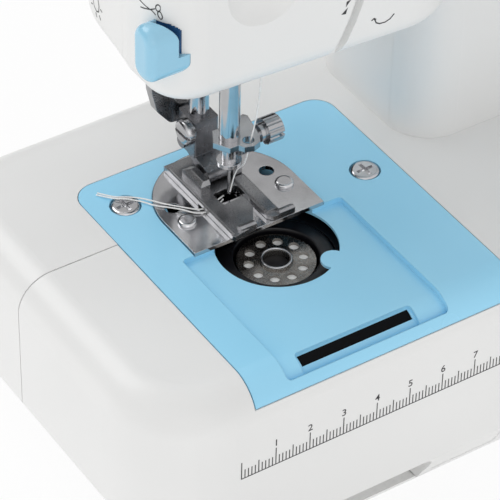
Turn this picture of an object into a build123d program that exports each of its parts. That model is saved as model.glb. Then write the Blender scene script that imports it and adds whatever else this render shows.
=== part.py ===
"""Small free-arm sewing machine, built as an assembly of separate pieces.

Millimetres, +X to the handwheel end, +Y to the back, +Z up.  The origin is the
bottom centre of the machine, on the surface that its four feet stand on.
"""
import os
from math import acos, asin, cos, degrees, pi, radians, sin, sqrt, tan

from build123d import *

os.makedirs("parts", exist_ok=True)

# ---------------------------------------------------------------- overall sizes
overall_length = 285.0        # left end of the base to the face of the handwheel
base_length = 268.0
base_depth = 116.6
base_height = 62.0            # bottom of the base to the work surface
foot_height = 3.0
arm_height = 167.0            # work surface to the top of the arm
head_clearance = 50.0         # work surface to the underside of the head

# ---------------------------------------------------------------- plastic shells
shell_wall = 2.4
drawer_wall = 2.0
corner_radius = 24.0          # base corners, seen from above
top_round = 9.6               # round between the work surface and the base walls
side_fold = 22.0              # height of the undercut at the two ends
side_undercut = 16.0          # how far it draws in
front_fold = 11.5             # the same along the front and the back
front_undercut = 6.0
seam = 0.2                    # gap round lids and plates
drawer_gap = 0.3              # gap round the drawer
running = 0.3                 # gap between pieces that move past each other
bearing = 0.05                # radial clearance of a shaft in its bush

# ---------------------------------------------------------------- bobbin and needle
bobbin_inset = 64.0           # bobbin centre from the left end of the base
bobbin_setback = 44.6         # bobbin centre from the front of the base
needle_shift = -1.2           # needle line from the bobbin centre, along X
needle_setback = 20.7         # needle line behind the bobbin centre
presser_setback = 14.5        # presser bar behind the needle bar

base_left = -overall_length / 2
base_right = base_left + base_length
base_front = -base_depth / 2
base_back = base_depth / 2
base_middle = (base_left + base_right) / 2
deck = foot_height + base_height
bobbin_x = base_left + bobbin_inset
bobbin_y = base_front + bobbin_setback
needle_x = bobbin_x + needle_shift
needle_y = bobbin_y + needle_setback
presser_y = needle_y + presser_setback
head_low = deck + head_clearance
arm_top = deck + arm_height

# ---------------------------------------------------------------- blue cover plate
cover_left = bobbin_x - 34.7
cover_right = bobbin_x + 43.3
cover_back = bobbin_y + 44.0
cover_low = deck - 6.0        # lower edge of its front apron
cover_thickness = 3.6
cover_corner = 6.0
recess_left = bobbin_x - 24.5
recess_right = bobbin_x + 23.5
recess_depth = 1.7
bobbin_opening = 15.96
opening_lip = 0.8
latch_slot_length = 32.8
latch_slot_width = 2.6
latch_notch_depth = 2.7

# ---------------------------------------------------------------- needle plate
plate_half_width = 19.5
plate_front = bobbin_y + 6.0
plate_thickness = 1.2
plate_proud = 0.6
plate_top = deck + plate_proud
plate_low = plate_top - plate_thickness

# ---------------------------------------------------------------- drawer
drawer_seam_y = bobbin_y + 19.85
strip_back = bobbin_y - 23.2  # back of the storage strip in front of the hook
bulkhead = 2.0
floor_plate = 2.4             # bottom plate of the machine
runner_width = 6.0
runner_height = 1.4
drawer_travel = 60.0
runner_x = cover_left - 8.0
pull_length = 63.0
pull_height = 9.0
pull_depth = 9.0

# ---------------------------------------------------------------- head, arm, pillar
head_left = bobbin_x - 31.0
head_front = bobbin_y - 1.6
pillar_left = bobbin_x + 50.8
pillar_front = bobbin_y + 11.6
housing_back = bobbin_y + 62.0
housing_right = base_right - 8.0
head_corner = 12.0
nose_angle = 3.0              # degrees that the head front draws back towards the nose
pillar_corner = 13.0
end_corner = 14.0
arm_round = 9.0
head_round = 6.0
split_y = bobbin_y + 23.5     # parting plane of the two housings
sweep_start = bobbin_x + 37.0 # where the head front starts to sweep back to the pillar
sweep_length = 29.0

# ---------------------------------------------------------------- mechanism
shaft_y = needle_y + 8.2
shaft_z = deck + 117.0
shaft_radius = 4.0
crank_radius = 11.0
crank_disc_radius = 15.5
crank_disc_width = 6.0
link_length = 40.0
link_width = 3.0
needle_down = 9.0             # travel of the needle bar below the modelled place
needle_up = 2 * crank_radius - needle_down
presser_lift = 4.5
lifter_turn = 50.0            # degrees
bar_radius = 2.7
bar_bush_radius = 3.9
shaft_bush_radius = 5.4
hook_radius = 19.8
hook_top = deck - 5.6
gear_offset = 24.0            # hook axis to lower shaft
gear_width = 8.0
lower_shaft_y = bobbin_y + gear_offset
lower_shaft_z = deck - 34.5
upper_pulley_radius = 12.0
lower_pulley_radius = 6.0
belt_width = 5.0
belt_thickness = 1.4
timing_x = pillar_left + 29.0
motor_belt_x = base_right - 36.0
motor_y = base_front + 86.0
motor_z = deck + 30.0
motor_radius = 16.0
motor_length = 44.0
motor_pulley_radius = 4.0
shaft_pulley_radius = 12.5
handwheel_radius = 27.0
handwheel_width = 22.0

UP = (Align.CENTER, Align.CENTER, Align.MIN)
CORNER = (Align.MIN, Align.MIN, Align.MIN)


# ---------------------------------------------------------------- small helpers
def block(x0, x1, y0, y1, z0, z1, mode=Mode.ADD):
    """Straight block between two corners, in the part being built."""
    with Locations((x0, y0, z0)):
        Box(x1 - x0, y1 - y0, z1 - z0, align=CORNER, mode=mode)


def post(x, y, z0, z1, radius, mode=Mode.ADD):
    """Round bar standing along Z."""
    with Locations((x, y, z0)):
        Cylinder(radius, z1 - z0, align=UP, mode=mode)


def axle(x0, x1, y, z, radius, mode=Mode.ADD):
    """Round bar lying along X."""
    with Locations(Location((x0, y, z), (0, 90, 0))):
        Cylinder(radius, x1 - x0, align=UP, mode=mode)


def spindle(x, y0, y1, z, radius, mode=Mode.ADD):
    """Round bar lying along Y."""
    with Locations(Location((x, y0, z), (-90, 0, 0))):
        Cylinder(radius, y1 - y0, align=UP, mode=mode)


def across(y):
    """Sketch plane facing the front at depth y: x to the right, y up."""
    return Plane(origin=(0, y, 0), x_dir=(1, 0, 0), z_dir=(0, -1, 0))


def keep(piece, name):
    """Label a finished piece and write it out."""
    piece.part.label = name
    export_step(piece.part, f"parts/{name}.step")


def base_form(inset, low):
    """Outer form of the base drawn in by inset, from height low up to the deck."""
    slopes = (
        ((base_left, 0, foot_height + side_fold), (side_fold, 0, side_undercut)),
        ((base_right, 0, foot_height + side_fold), (-side_fold, 0, side_undercut)),
        ((0, base_front, foot_height + front_fold), (0, front_fold, front_undercut)),
        ((0, base_back, foot_height + front_fold), (0, -front_fold, front_undercut)),
    )
    with BuildPart() as form:
        with BuildSketch(Plane.XY.offset(low)):
            with Locations((base_middle, 0)):
                RectangleRounded(base_length - 2 * inset, base_depth - 2 * inset,
                                 corner_radius - inset)
        extrude(amount=deck - inset - low)
        fillet(form.faces().sort_by(Axis.Z)[-1].edges(), radius=top_round - inset)
        for point, normal in slopes:
            split(bisect_by=Plane(origin=point, z_dir=normal).offset(inset), keep=Keep.TOP)
    return form.part


def bay_form(gap, low):
    """Room that the accessory drawer slides in, drawn in by gap, without the outer form."""
    with BuildPart() as bay:
        block(base_left - 1, cover_left - gap, base_front - 1, drawer_seam_y - gap, low, deck + 1)
        block(base_left - 1, cover_right - gap, base_front - 1, strip_back - gap, low,
              cover_low - gap)
    return bay.part


def arm_outline():
    """Plan of the arm and head, as a closed line for a sketch."""
    depth = pillar_front - head_front
    sweep_radius = (sweep_length ** 2 + depth ** 2) / (4 * depth)
    nose = radians(nose_angle)
    turn = degrees(acos((1 + cos(nose) - depth / sweep_radius) / 2))
    nose_end = head_left + head_corner * (1 - sin(nose))
    nose_rise = (sweep_start - nose_end) * tan(nose)
    corner_start = (head_left, head_front + nose_rise + head_corner * cos(nose))
    with BuildLine() as line:
        bend = JernArc(corner_start, (0, -1), head_corner, 90 - nose_angle)
        front = Line(bend @ 1, (sweep_start, head_front))
        out = JernArc(front @ 1, front % 1, sweep_radius, turn + nose_angle)
        back = JernArc(out @ 1, out % 1, sweep_radius, -turn)
        right = Line(back @ 1, (housing_right - end_corner, pillar_front))
        corner = JernArc(right @ 1, (1, 0), end_corner, 90)
        side = Line(corner @ 1, (housing_right, housing_back - end_corner))
        rear = JernArc(side @ 1, (0, 1), end_corner, 90)
        rear_run = Line(rear @ 1, (head_left + 24, housing_back))
        tail = ThreePointArc(rear_run @ 1, (head_left + 9.2, housing_back - 8.5),
                             (head_left + 2.4, housing_back - 24))
        flank = TangentArc((tail @ 1), (head_left, split_y - 3), tangent=tail % 1)
        Line(flank @ 1, corner_start)
    return line.line


def pillar_plan(inset):
    """Size and corners of the pillar's foot, drawn in by inset, in the current sketch."""
    width = housing_right - pillar_left
    depth = housing_back - pillar_front
    with Locations(((housing_right + pillar_left) / 2, (housing_back + pillar_front) / 2)):
        RectangleRounded(width - 2 * inset, depth - 2 * inset, pillar_corner - inset)


def housing_form(inset):
    """Form of arm, head and pillar drawn in by inset."""
    outline = arm_outline()
    with BuildPart() as form:
        with BuildSketch(Plane.XY.offset(head_low + inset)):
            with BuildLine():
                add(outline)
            make_face()
            if inset != 0:
                offset(amount=-inset, kind=Kind.ARC)
        extrude(amount=arm_top - head_low - 2 * inset)
        fillet(form.faces().sort_by(Axis.Z)[-1].edges(), radius=arm_round - inset)
        fillet(form.faces().sort_by(Axis.Z)[0].edges(), radius=head_round - inset)
        with BuildSketch(Plane.XY.offset(deck)):
            pillar_plan(inset)
        extrude(amount=head_clearance + head_round + 2)
    return form.part


# ================================================================ base
shell_low = foot_height + floor_plate
drawer_low = shell_low + running
drawer_floor = 2.6
drawer_bay = bay_form(0, shell_low)
cover_seat = deck - cover_thickness
cover_screws = ((bobbin_x - 25.3, bobbin_y + 31.9), (bobbin_x + 35.0, bobbin_y + 11.5))
screw_boss = 5.5
pilot_radius = 1.6
mount_screw_radius = 1.5
foot_radius = 7.0
foot_stem = 2.5
foot_places = [(x, y) for x in (base_left + 32, base_right - 32)
               for y in (base_front + 20, base_back - 20)]
tray_left = pillar_left + 50.0
tray_length = 70.0
tray_depth = 54.0
tray_height = 17.0
tray_ledge = 3.0

with BuildPart() as bulkheads:
    add(base_form(shell_wall, shell_low))
    add(bay_form(-bulkhead, shell_low), mode=Mode.INTERSECT)

with BuildPart() as cover_pocket:
    with BuildSketch(Plane.XY.offset(cover_low)):
        with Locations(((cover_left + cover_right) / 2, base_front + (cover_back - base_front) / 2)):
            RectangleRounded(cover_right - cover_left + 2 * seam,
                             cover_back - base_front + 2 * seam, cover_corner + seam)
    extrude(amount=deck - cover_low + 1)
    block(cover_left - seam, cover_right + seam, base_front - 1, base_front + 20, cover_low, deck + 1)
    add(base_form(cover_thickness, foot_height), mode=Mode.SUBTRACT)

with BuildPart() as cover_ledge:
    block(cover_left, cover_right + 4, strip_back, cover_back + 4, deck - 12, deck)
    add(base_form(cover_thickness, foot_height), mode=Mode.INTERSECT)
    add(base_form(cover_thickness + shell_wall, foot_height), mode=Mode.SUBTRACT)

with BuildPart() as base_shell:
    add(base_form(0, shell_low))
    add(base_form(shell_wall, shell_low - 1), mode=Mode.SUBTRACT)
    add(bulkheads.part)
    add(cover_ledge.part)
    block(cover_left + 1, cover_left + 16, cover_screws[0][1] - 6, cover_screws[0][1] + 6,
          cover_seat - 7, cover_seat)
    block(cover_screws[1][0] - 6, cover_right + 3, cover_screws[1][1] - 6, cover_screws[1][1] + 6,
          cover_seat - 7, cover_seat)
    add(drawer_bay, mode=Mode.SUBTRACT)
    add(cover_pocket.part, mode=Mode.SUBTRACT)
    window_left = cover_left + 5
    window_right = cover_right - 4
    window_front = strip_back + bulkhead
    window_back = cover_back - 5
    block(cover_left + 16, cover_screws[1][0] - 6, window_front, window_back,
          cover_seat - shell_wall - 1, cover_seat + 1, mode=Mode.SUBTRACT)
    block(window_left, cover_left + 17, window_front, cover_screws[0][1] - 6,
          cover_seat - shell_wall - 1, cover_seat + 1, mode=Mode.SUBTRACT)
    block(cover_screws[1][0] - 7, window_right, window_front, cover_screws[1][1] - 6,
          cover_seat - shell_wall - 1, cover_seat + 1, mode=Mode.SUBTRACT)
    for x, y in cover_screws:
        post(x, y, cover_seat - 8, cover_seat + 1, pilot_radius, mode=Mode.SUBTRACT)
    # well under the pillar for the frame, the timing belt and the wires
    block(pillar_left + 5, housing_right - 14, pillar_front + 4, housing_back - 6,
          deck - shell_wall - 1, deck + 1, mode=Mode.SUBTRACT)
keep(base_shell, "base_shell")

with BuildPart() as bottom_plate:
    add(base_form(0, foot_height))
    split(bisect_by=Plane.XY.offset(shell_low), keep=Keep.BOTTOM)
    for x, y in foot_places:
        post(x, y, foot_height - 1, shell_low + 1, foot_stem + bearing, mode=Mode.SUBTRACT)
    block(tray_left - 2, tray_left + tray_length + 2, -tray_depth / 2 - 2, tray_depth / 2 + 2,
          shell_low, shell_low + tray_height)
    block(tray_left, tray_left + tray_length, -tray_depth / 2, tray_depth / 2,
          foot_height - 1, shell_low, mode=Mode.SUBTRACT)
    block(tray_left + tray_ledge, tray_left + tray_length - tray_ledge,
          -tray_depth / 2 + tray_ledge, tray_depth / 2 - tray_ledge,
          shell_low - 0.5, shell_low + tray_height - 2, mode=Mode.SUBTRACT)
    # guide rail of the drawer
    block(runner_x - runner_width / 2, runner_x + runner_width / 2,
          base_front + 12, drawer_seam_y - 6, shell_low, shell_low + runner_height)
keep(bottom_plate, "bottom_plate")

with BuildPart() as battery_cover:
    block(tray_left + seam, tray_left + tray_length - seam, -tray_depth / 2 + seam,
          tray_depth / 2 - seam, foot_height, shell_low)
    fillet(battery_cover.edges().filter_by(Axis.Z), radius=2)
    # finger grip ribs
    for step in range(5):
        block(tray_left + 8 + 2.4 * step, tray_left + 9.2 + 2.4 * step, -9, 9,
              foot_height - 0.01, foot_height + 0.8, mode=Mode.SUBTRACT)
keep(battery_cover, "battery_cover")

with BuildPart() as rubber_feet:
    with BuildSketch():
        with Locations(*foot_places):
            Circle(foot_radius)
    extrude(amount=foot_height)
    fillet(rubber_feet.faces().sort_by(Axis.Z)[0].edges(), radius=1)
    with BuildSketch(Plane.XY.offset(foot_height)):
        with Locations(*foot_places):
            Circle(foot_stem)
    extrude(amount=floor_plate - 0.2)
keep(rubber_feet, "rubber_feet")

# ---------------------------------------------------------------- accessory drawer
with BuildPart() as drawer_room:
    add(base_form(drawer_wall, drawer_low + drawer_floor))
    add(bay_form(drawer_gap + drawer_wall, drawer_low + drawer_floor), mode=Mode.INTERSECT)

pull_left = cover_left - 7.3
pull_top = foot_height + front_fold
with BuildPart() as accessory_drawer:
    add(base_form(0, drawer_low))
    add(bay_form(drawer_gap, drawer_low), mode=Mode.INTERSECT)
    add(drawer_room.part, mode=Mode.SUBTRACT)
    # open top of the strip in front of the hook
    block(cover_left + 3, cover_right - drawer_gap - drawer_wall, base_front + 4,
          strip_back - drawer_gap - drawer_wall, cover_low - 6, cover_low, mode=Mode.SUBTRACT)
    # window in the inner side of the wing, reached when the drawer is out
    block(cover_left - drawer_gap - drawer_wall - 1, cover_left, strip_back + 4, drawer_seam_y - 6,
          drawer_low + 20, cover_low - 1, mode=Mode.SUBTRACT)
    # pocket of the finger pull, and its backing
    block(pull_left - 2, pull_left + pull_length + 2, base_front + 4, base_front + pull_depth + 2,
          drawer_low, pull_top + 2)
    with BuildSketch(across(base_front - 1)):
        with Locations((pull_left + pull_length / 2, pull_top - pull_height / 2)):
            RectangleRounded(pull_length, pull_height, 4.2)
    extrude(amount=-(pull_depth + 1), mode=Mode.SUBTRACT)
    # groove over the guide rail
    block(runner_x - runner_width / 2 - running, runner_x + runner_width / 2 + running,
          base_front + 11, drawer_seam_y, drawer_low - 1, shell_low + runner_height + running,
          mode=Mode.SUBTRACT)
keep(accessory_drawer, "accessory_drawer")

# ================================================================ work surface
bobbin_flange_radius = 10.25
bobbin_height = 11.7
bobbin_top = deck - 6.6
bobbin_flange = 0.8
bobbin_hub = 4.35
bobbin_bore = 3.4
bobbin_holes = 10
bobbin_hole_ring = 7.2
bobbin_hole_radius = 1.35
pin_radius = 2.5
plate_pins = ((needle_x - 14.6, bobbin_y + 17.3), (needle_x + 14.9, bobbin_y + 17.3))
plate_holes = ((needle_x - 14.9, bobbin_y + 24.1), (needle_x + 13.9, bobbin_y + 24.2))
plate_hole_radius = 2.0
feed_slots = (-4.4, 4.4)
feed_slot_length = 24.0
feed_slot_width = 2.4
feed_middle = needle_y + 0.3


def needle_plate_outline(grow):
    """Straight front and a round back, drawn out by grow."""
    half = plate_half_width + grow
    front = plate_front - grow
    with BuildSketch() as outline:
        with BuildLine():
            Polyline((needle_x - half, needle_y), (needle_x - half, front),
                     (needle_x + half, front), (needle_x + half, needle_y))
            ThreePointArc((needle_x + half, needle_y), (needle_x, needle_y + half),
                          (needle_x - half, needle_y))
        make_face()
    return outline.sketch


def cover_skin(left, right, front, back, depth):
    """Outer skin of the base, depth thick, between two sides and two ends."""
    with BuildPart() as skin:
        block(left, right, front, back, cover_low - 1, deck + 1)
        fillet(skin.edges().filter_by(Axis.Z), radius=1.2)
        add(base_form(0, foot_height), mode=Mode.INTERSECT)
        add(base_form(depth, foot_height), mode=Mode.SUBTRACT)
    return skin.part


tab_angle = radians(-52)
with BuildPart() as plate_cover:
    with BuildSketch(Plane.XY.offset(cover_low)):
        with Locations(((cover_left + cover_right) / 2, base_front + (cover_back - base_front) / 2)):
            RectangleRounded(cover_right - cover_left, cover_back - base_front, cover_corner)
    extrude(amount=deck - cover_low + 1)
    block(cover_left, cover_right, base_front - 1, base_front + 20, cover_low, deck + 1)
    add(base_form(0, foot_height), mode=Mode.INTERSECT)
    add(base_form(cover_thickness, foot_height), mode=Mode.SUBTRACT)
    add(cover_skin(recess_left, recess_right, base_front + 2.4, plate_front, recess_depth),
        mode=Mode.SUBTRACT)
    # finger notch and latch slot at the front of the seat
    add(cover_skin(bobbin_x - 19.0, bobbin_x + 15.4, base_front + 2.4, base_front + 8.6,
                   latch_notch_depth), mode=Mode.SUBTRACT)
    block(bobbin_x - 18.2, bobbin_x - 18.2 + latch_slot_length, base_front + 5.6,
          base_front + 5.6 + latch_slot_width, deck - 12, deck + 1, mode=Mode.SUBTRACT)
    # round opening over the bobbin, with a small round tab in its rim
    with BuildSketch(Plane.XY.offset(deck - cover_thickness - 1)):
        with Locations((bobbin_x, bobbin_y)):
            Circle(bobbin_opening)
        with Locations((bobbin_x + 15.2 * cos(tab_angle), bobbin_y + 15.2 * sin(tab_angle))):
            Circle(3.4, mode=Mode.SUBTRACT)
    extrude(amount=cover_thickness + 2, mode=Mode.SUBTRACT)
    # thinner lip round the opening
    post(bobbin_x, bobbin_y, deck - cover_thickness - 1, deck - recess_depth - opening_lip,
         bobbin_opening + 1.6, mode=Mode.SUBTRACT)
    # seat of the needle plate, and the mechanism opening inside it
    with BuildSketch(Plane.XY.offset(plate_low)):
        add(needle_plate_outline(seam))
    extrude(amount=plate_thickness + 1, mode=Mode.SUBTRACT)
    with BuildSketch(Plane.XY.offset(deck - cover_thickness - 1)):
        add(needle_plate_outline(-3.2))
        for x, y in plate_pins:
            with Locations((x, y)):
                Circle(pin_radius + 1.2, mode=Mode.SUBTRACT)
    extrude(amount=cover_thickness + 2, mode=Mode.SUBTRACT)
    for x, y in plate_pins:
        post(x, y, hook_top + 2 * running, plate_low, pin_radius + 1.2)
        post(x, y, hook_top, plate_low + 1, 1.1, mode=Mode.SUBTRACT)
    for x, y in cover_screws:
        post(x, y, deck - 1.5, deck + 1, 4.15, mode=Mode.SUBTRACT)
        post(x, y, cover_seat - 1, deck, mount_screw_radius + 0.3, mode=Mode.SUBTRACT)
keep(plate_cover, "plate_cover")

with BuildPart() as plate_cover_screws:
    for x, y in cover_screws:
        post(x, y, cover_seat - 6, deck - 1.5, mount_screw_radius)
        post(x, y, deck - 1.5, deck + 0.3, 3.9)
    fillet(plate_cover_screws.edges().group_by(Axis.Z)[-1], radius=0.9)
    for x, y in cover_screws:
        block(x - 2.4, x + 2.4, y - 0.5, y + 0.5, deck - 0.9, deck + 1, mode=Mode.SUBTRACT)
        block(x - 0.5, x + 0.5, y - 2.4, y + 2.4, deck - 0.9, deck + 1, mode=Mode.SUBTRACT)
keep(plate_cover_screws, "plate_cover_screws")

with BuildPart() as needle_plate:
    with BuildSketch(Plane.XY.offset(plate_low)):
        add(needle_plate_outline(0))
        with Locations((needle_x, needle_y)):
            SlotOverall(7.0, 3.4, mode=Mode.SUBTRACT)
        for shift in feed_slots:
            with Locations((needle_x + shift, feed_middle)):
                SlotOverall(feed_slot_length, feed_slot_width, rotation=90, mode=Mode.SUBTRACT)
        with Locations(*plate_holes):
            Circle(plate_hole_radius, mode=Mode.SUBTRACT)
        with Locations(*plate_pins):
            Circle(1.4, mode=Mode.SUBTRACT)
    extrude(amount=plate_thickness)
keep(needle_plate, "needle_plate")

with BuildPart() as needle_plate_screws:
    for x, y in plate_pins:
        post(x, y, hook_top + 3 * running, plate_top, 1.0)
        post(x, y, plate_top, plate_top + 1.1, pin_radius)
    fillet(needle_plate_screws.edges().group_by(Axis.Z)[-1], radius=0.8)
keep(needle_plate_screws, "needle_plate_screws")

# ---------------------------------------------------------------- hook and bobbin
case_radius = 15.2
case_floor_low = bobbin_top - bobbin_height - 1.8
case_floor_high = bobbin_top - bobbin_height - running
hook_wall = 1.8
hook_floor_low = case_floor_low - running - hook_wall
lower_bush_low = foot_height + 5.0
lower_bush_high = lower_bush_low + 8.0
hook_spindle_radius = 3.0
gear_teeth = 20
gear_radius = gear_offset / 2 - 0.15
tooth_gap = 0.9

with BuildPart() as hook:
    post(bobbin_x, bobbin_y, hook_floor_low, hook_top, hook_radius)
    post(bobbin_x, bobbin_y, hook_floor_low + hook_wall, hook_top + 1, case_radius + running,
         mode=Mode.SUBTRACT)
    # open stretch of the rim that the hook point leads
    block(bobbin_x + 6, bobbin_x + 22, bobbin_y - 22, bobbin_y - 6,
          hook_floor_low + hook_wall + 4, hook_top + 1, mode=Mode.SUBTRACT)
    post(bobbin_x, bobbin_y, lower_bush_low + 0.5, hook_floor_low, hook_spindle_radius)
    # moulded in one with its gear, which the gear of the lower shaft turns
    post(bobbin_x, bobbin_y, lower_shaft_z + gear_width / 2, hook_floor_low, 6.0)
    post(bobbin_x, bobbin_y, lower_shaft_z - gear_width / 2, lower_shaft_z + gear_width / 2,
         gear_radius)
    with BuildSketch(Plane.XY.offset(lower_shaft_z - gear_width / 2 - 1)):
        with Locations((bobbin_x, bobbin_y)):
            with PolarLocations(gear_radius + 0.1, gear_teeth):
                Circle(tooth_gap)
    extrude(amount=gear_width + 1, mode=Mode.SUBTRACT)
keep(hook, "hook")

with BuildPart() as bobbin_case:
    post(bobbin_x, bobbin_y, case_floor_low, deck - 5.2, case_radius)
    post(bobbin_x, bobbin_y, case_floor_high, deck, bobbin_flange_radius + 0.7,
         mode=Mode.SUBTRACT)
    post(bobbin_x, bobbin_y, case_floor_high, bobbin_top - 1.2, bobbin_bore - bearing)
    fillet(bobbin_case.faces().sort_by(Axis.Z)[-1].edges(), radius=0.6)
keep(bobbin_case, "bobbin_case")

with BuildPart() as bobbin:
    post(bobbin_x, bobbin_y, bobbin_top - bobbin_height, bobbin_top, bobbin_flange_radius)
    with BuildSketch(Plane.XY.offset(bobbin_top - bobbin_height + bobbin_flange)):
        with Locations((bobbin_x, bobbin_y)):
            Circle(bobbin_flange_radius + 1)
            Circle(bobbin_hub, mode=Mode.SUBTRACT)
    extrude(amount=bobbin_height - 2 * bobbin_flange, mode=Mode.SUBTRACT)
    post(bobbin_x, bobbin_y, bobbin_top, bobbin_top + 0.5, bobbin_hub)
    post(bobbin_x, bobbin_y, bobbin_top - bobbin_height - 1, bobbin_top + 1, bobbin_bore,
         mode=Mode.SUBTRACT)
    with BuildSketch(Plane.XY.offset(bobbin_top - bobbin_height - 1)):
        with Locations((bobbin_x, bobbin_y)):
            with PolarLocations(bobbin_hole_ring, bobbin_holes, start_angle=180 / bobbin_holes):
                Circle(bobbin_hole_radius)
    extrude(amount=bobbin_height + 2, mode=Mode.SUBTRACT)
keep(bobbin, "bobbin")

with BuildPart() as bobbin_thread:
    with BuildSketch(Plane.XY.offset(bobbin_top - bobbin_height + bobbin_flange)):
        with Locations((bobbin_x, bobbin_y)):
            Circle(bobbin_flange_radius - 0.8)
            Circle(bobbin_hub, mode=Mode.SUBTRACT)
    extrude(amount=bobbin_height - 2 * bobbin_flange)
keep(bobbin_thread, "bobbin_thread")

# ================================================================ needle bar
frame_top = deck + 141.0
frame_plate = 6.0
lower_plate_z = deck + 54.0
ring_low = deck + 18.2       # plate of the clamp, round the lower end of the bar
ring_high = deck + 20.0
disc_low = deck + 11.6       # disc under the thin end of the bar
disc_high = deck + 12.8
disc_radius = 3.3
bar_end_radius = 2.0
clamp_screw_y = needle_y + 0.6
clamp_screw_z = deck + 16.8
shank_radius = 1.0
shank_low = deck + 10.5
shank_taper = 1.5
shank_depth = 6.4            # how far the needle goes up into the bar
blade_radius = 0.45
point_length = 2.2
needle_tip = deck - 0.9
link_x = needle_x + 6.4
crank_rest = asin((needle_up - needle_down) / 2 / crank_radius)
crank_pin_y = shaft_y - crank_radius * cos(crank_rest)
crank_pin_z = shaft_z - crank_radius * sin(crank_rest)
link_pin_z = crank_pin_z - sqrt(link_length ** 2 - (crank_pin_y - needle_y) ** 2)
link_eye = 4.2
link_pin = 2.0

with BuildPart() as needle_bar:
    post(needle_x, needle_y, ring_low, frame_top + needle_down + 0.5, bar_radius)
    post(needle_x, needle_y, disc_low, ring_low, bar_end_radius)
    post(needle_x, needle_y, disc_low, disc_high, disc_radius)
    # driving block with the stub of its pin
    block(needle_x - 5, link_x - running, needle_y - 5, needle_y + 5, link_pin_z - 5,
          link_pin_z + 5)
    fillet(needle_bar.edges().filter_by(Axis.X), radius=1.5)
    post(needle_x, needle_y, disc_low - 1, disc_low + shank_depth, shank_radius + bearing,
         mode=Mode.SUBTRACT)
keep(needle_bar, "needle_bar")

# thread guide of the clamp, in plan from the bobbin centre
guide_plan = ((-1.2, 20.7), (-1.2, 16.6), (-0.3, 15.0), (2.2, 14.2), (4.4, 15.0), (5.4, 16.8),
              (6.0, 19.0), (7.4, 25.6), (6.6, 26.6), (5.2, 26.2), (3.0, 24.0))
guide_eye = (bobbin_x + 2.1, bobbin_y + 17.0)

with BuildPart() as needle_clamp:
    with BuildSketch(Plane.XY.offset(ring_low)):
        with Locations((needle_x, needle_y)):
            RegularPolygon(4.9, 6)
        with BuildLine():
            Polyline(*[(bobbin_x + x, bobbin_y + y) for x, y in guide_plan], close=True)
        make_face()
        with Locations(guide_eye):
            Circle(1.5, mode=Mode.SUBTRACT)
    extrude(amount=ring_high - ring_low)
    # ear that the clamp screw passes through
    block(needle_x + 1.5, needle_x + 6.6, needle_y - 2.2, needle_y + 3.4, deck + 14.4, ring_low)
    post(needle_x, needle_y, ring_low - 1, ring_high + 1, bar_radius, mode=Mode.SUBTRACT)
    post(needle_x, needle_y, deck + 14, ring_low, bar_end_radius + bearing, mode=Mode.SUBTRACT)
    axle(needle_x + 1, needle_x + 8, clamp_screw_y, clamp_screw_z, 1.3, mode=Mode.SUBTRACT)
keep(needle_clamp, "needle_clamp")

clamp_head_radius = 3.6
clamp_head_left = needle_x + 10.6
clamp_head_right = needle_x + 15.2
with BuildPart() as clamp_screw:
    axle(needle_x + bar_end_radius + 0.1, clamp_head_left - 1.6, clamp_screw_y, clamp_screw_z, 1.25)
    axle(clamp_head_left - 1.6, clamp_head_left, clamp_screw_y, clamp_screw_z, 2.4)
    axle(clamp_head_left, clamp_head_right, clamp_screw_y, clamp_screw_z, clamp_head_radius)
    fillet(clamp_screw.edges().group_by(Axis.X)[-1], radius=0.5)
    for turn in range(12):
        edge_angle = radians(30 * turn)
        axle(clamp_head_left - 0.1, clamp_head_right + 0.4,
             clamp_screw_y + (clamp_head_radius + 0.2) * cos(edge_angle),
             clamp_screw_z + (clamp_head_radius + 0.2) * sin(edge_angle), 0.45,
             mode=Mode.SUBTRACT)
    block(clamp_head_right - 1.8, clamp_head_right + 1, clamp_screw_y - 5, clamp_screw_y + 5,
          clamp_screw_z - 0.6, clamp_screw_z + 0.6, mode=Mode.SUBTRACT)
keep(clamp_screw, "clamp_screw")

with BuildPart() as needle:
    post(needle_x, needle_y, shank_low, disc_low + shank_depth, shank_radius)
    with Locations((needle_x, needle_y, shank_low - shank_taper)):
        Cone(blade_radius, shank_radius, shank_taper, align=UP)
    post(needle_x, needle_y, needle_tip + point_length, shank_low - shank_taper, blade_radius)
    with Locations((needle_x, needle_y, needle_tip)):
        Cone(0.08, blade_radius, point_length, align=UP)
    # eye
    block(needle_x - 0.17, needle_x + 0.17, needle_y - 1, needle_y + 1, needle_tip + 2.6,
          needle_tip + 3.8, mode=Mode.SUBTRACT)
keep(needle, "needle")

# ================================================================ presser foot
holder_low = deck + 7.0
holder_top = deck + 18.2
holder_half = 3.6
holder_front = bobbin_y + 31.2
ankle_half = 3.4
ankle_radius = 1.8
bar_low = deck + 9.0         # lower end of the presser bar, in the holder
holder_screw_y = presser_y - 2.1
holder_screw_z = deck + 15.4
foot_low = plate_top + 0.1
sole_thickness = 1.5
sole_top = foot_low + sole_thickness
foot_left = bobbin_x - 10.0
foot_right = bobbin_x + 5.7
foot_back = bobbin_y + 38.0
cross_pin_y = bobbin_y + 26.4
cross_pin_z = deck + 4.4
cross_pin_radius = 1.0
collar_radius = 6.0
collar_z = deck + 88.0
lug_low = deck + 68.5        # lug of the bar that the lifter raises

with BuildPart() as presser_bar:
    post(needle_x, presser_y, bar_low, frame_top + 4, bar_radius)
    post(needle_x, presser_y, collar_z, collar_z + 8, collar_radius)
    block(needle_x - 3, needle_x + 3, presser_y, presser_y + 9, lug_low, lug_low + 3.6)
keep(presser_bar, "presser_bar")

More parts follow.
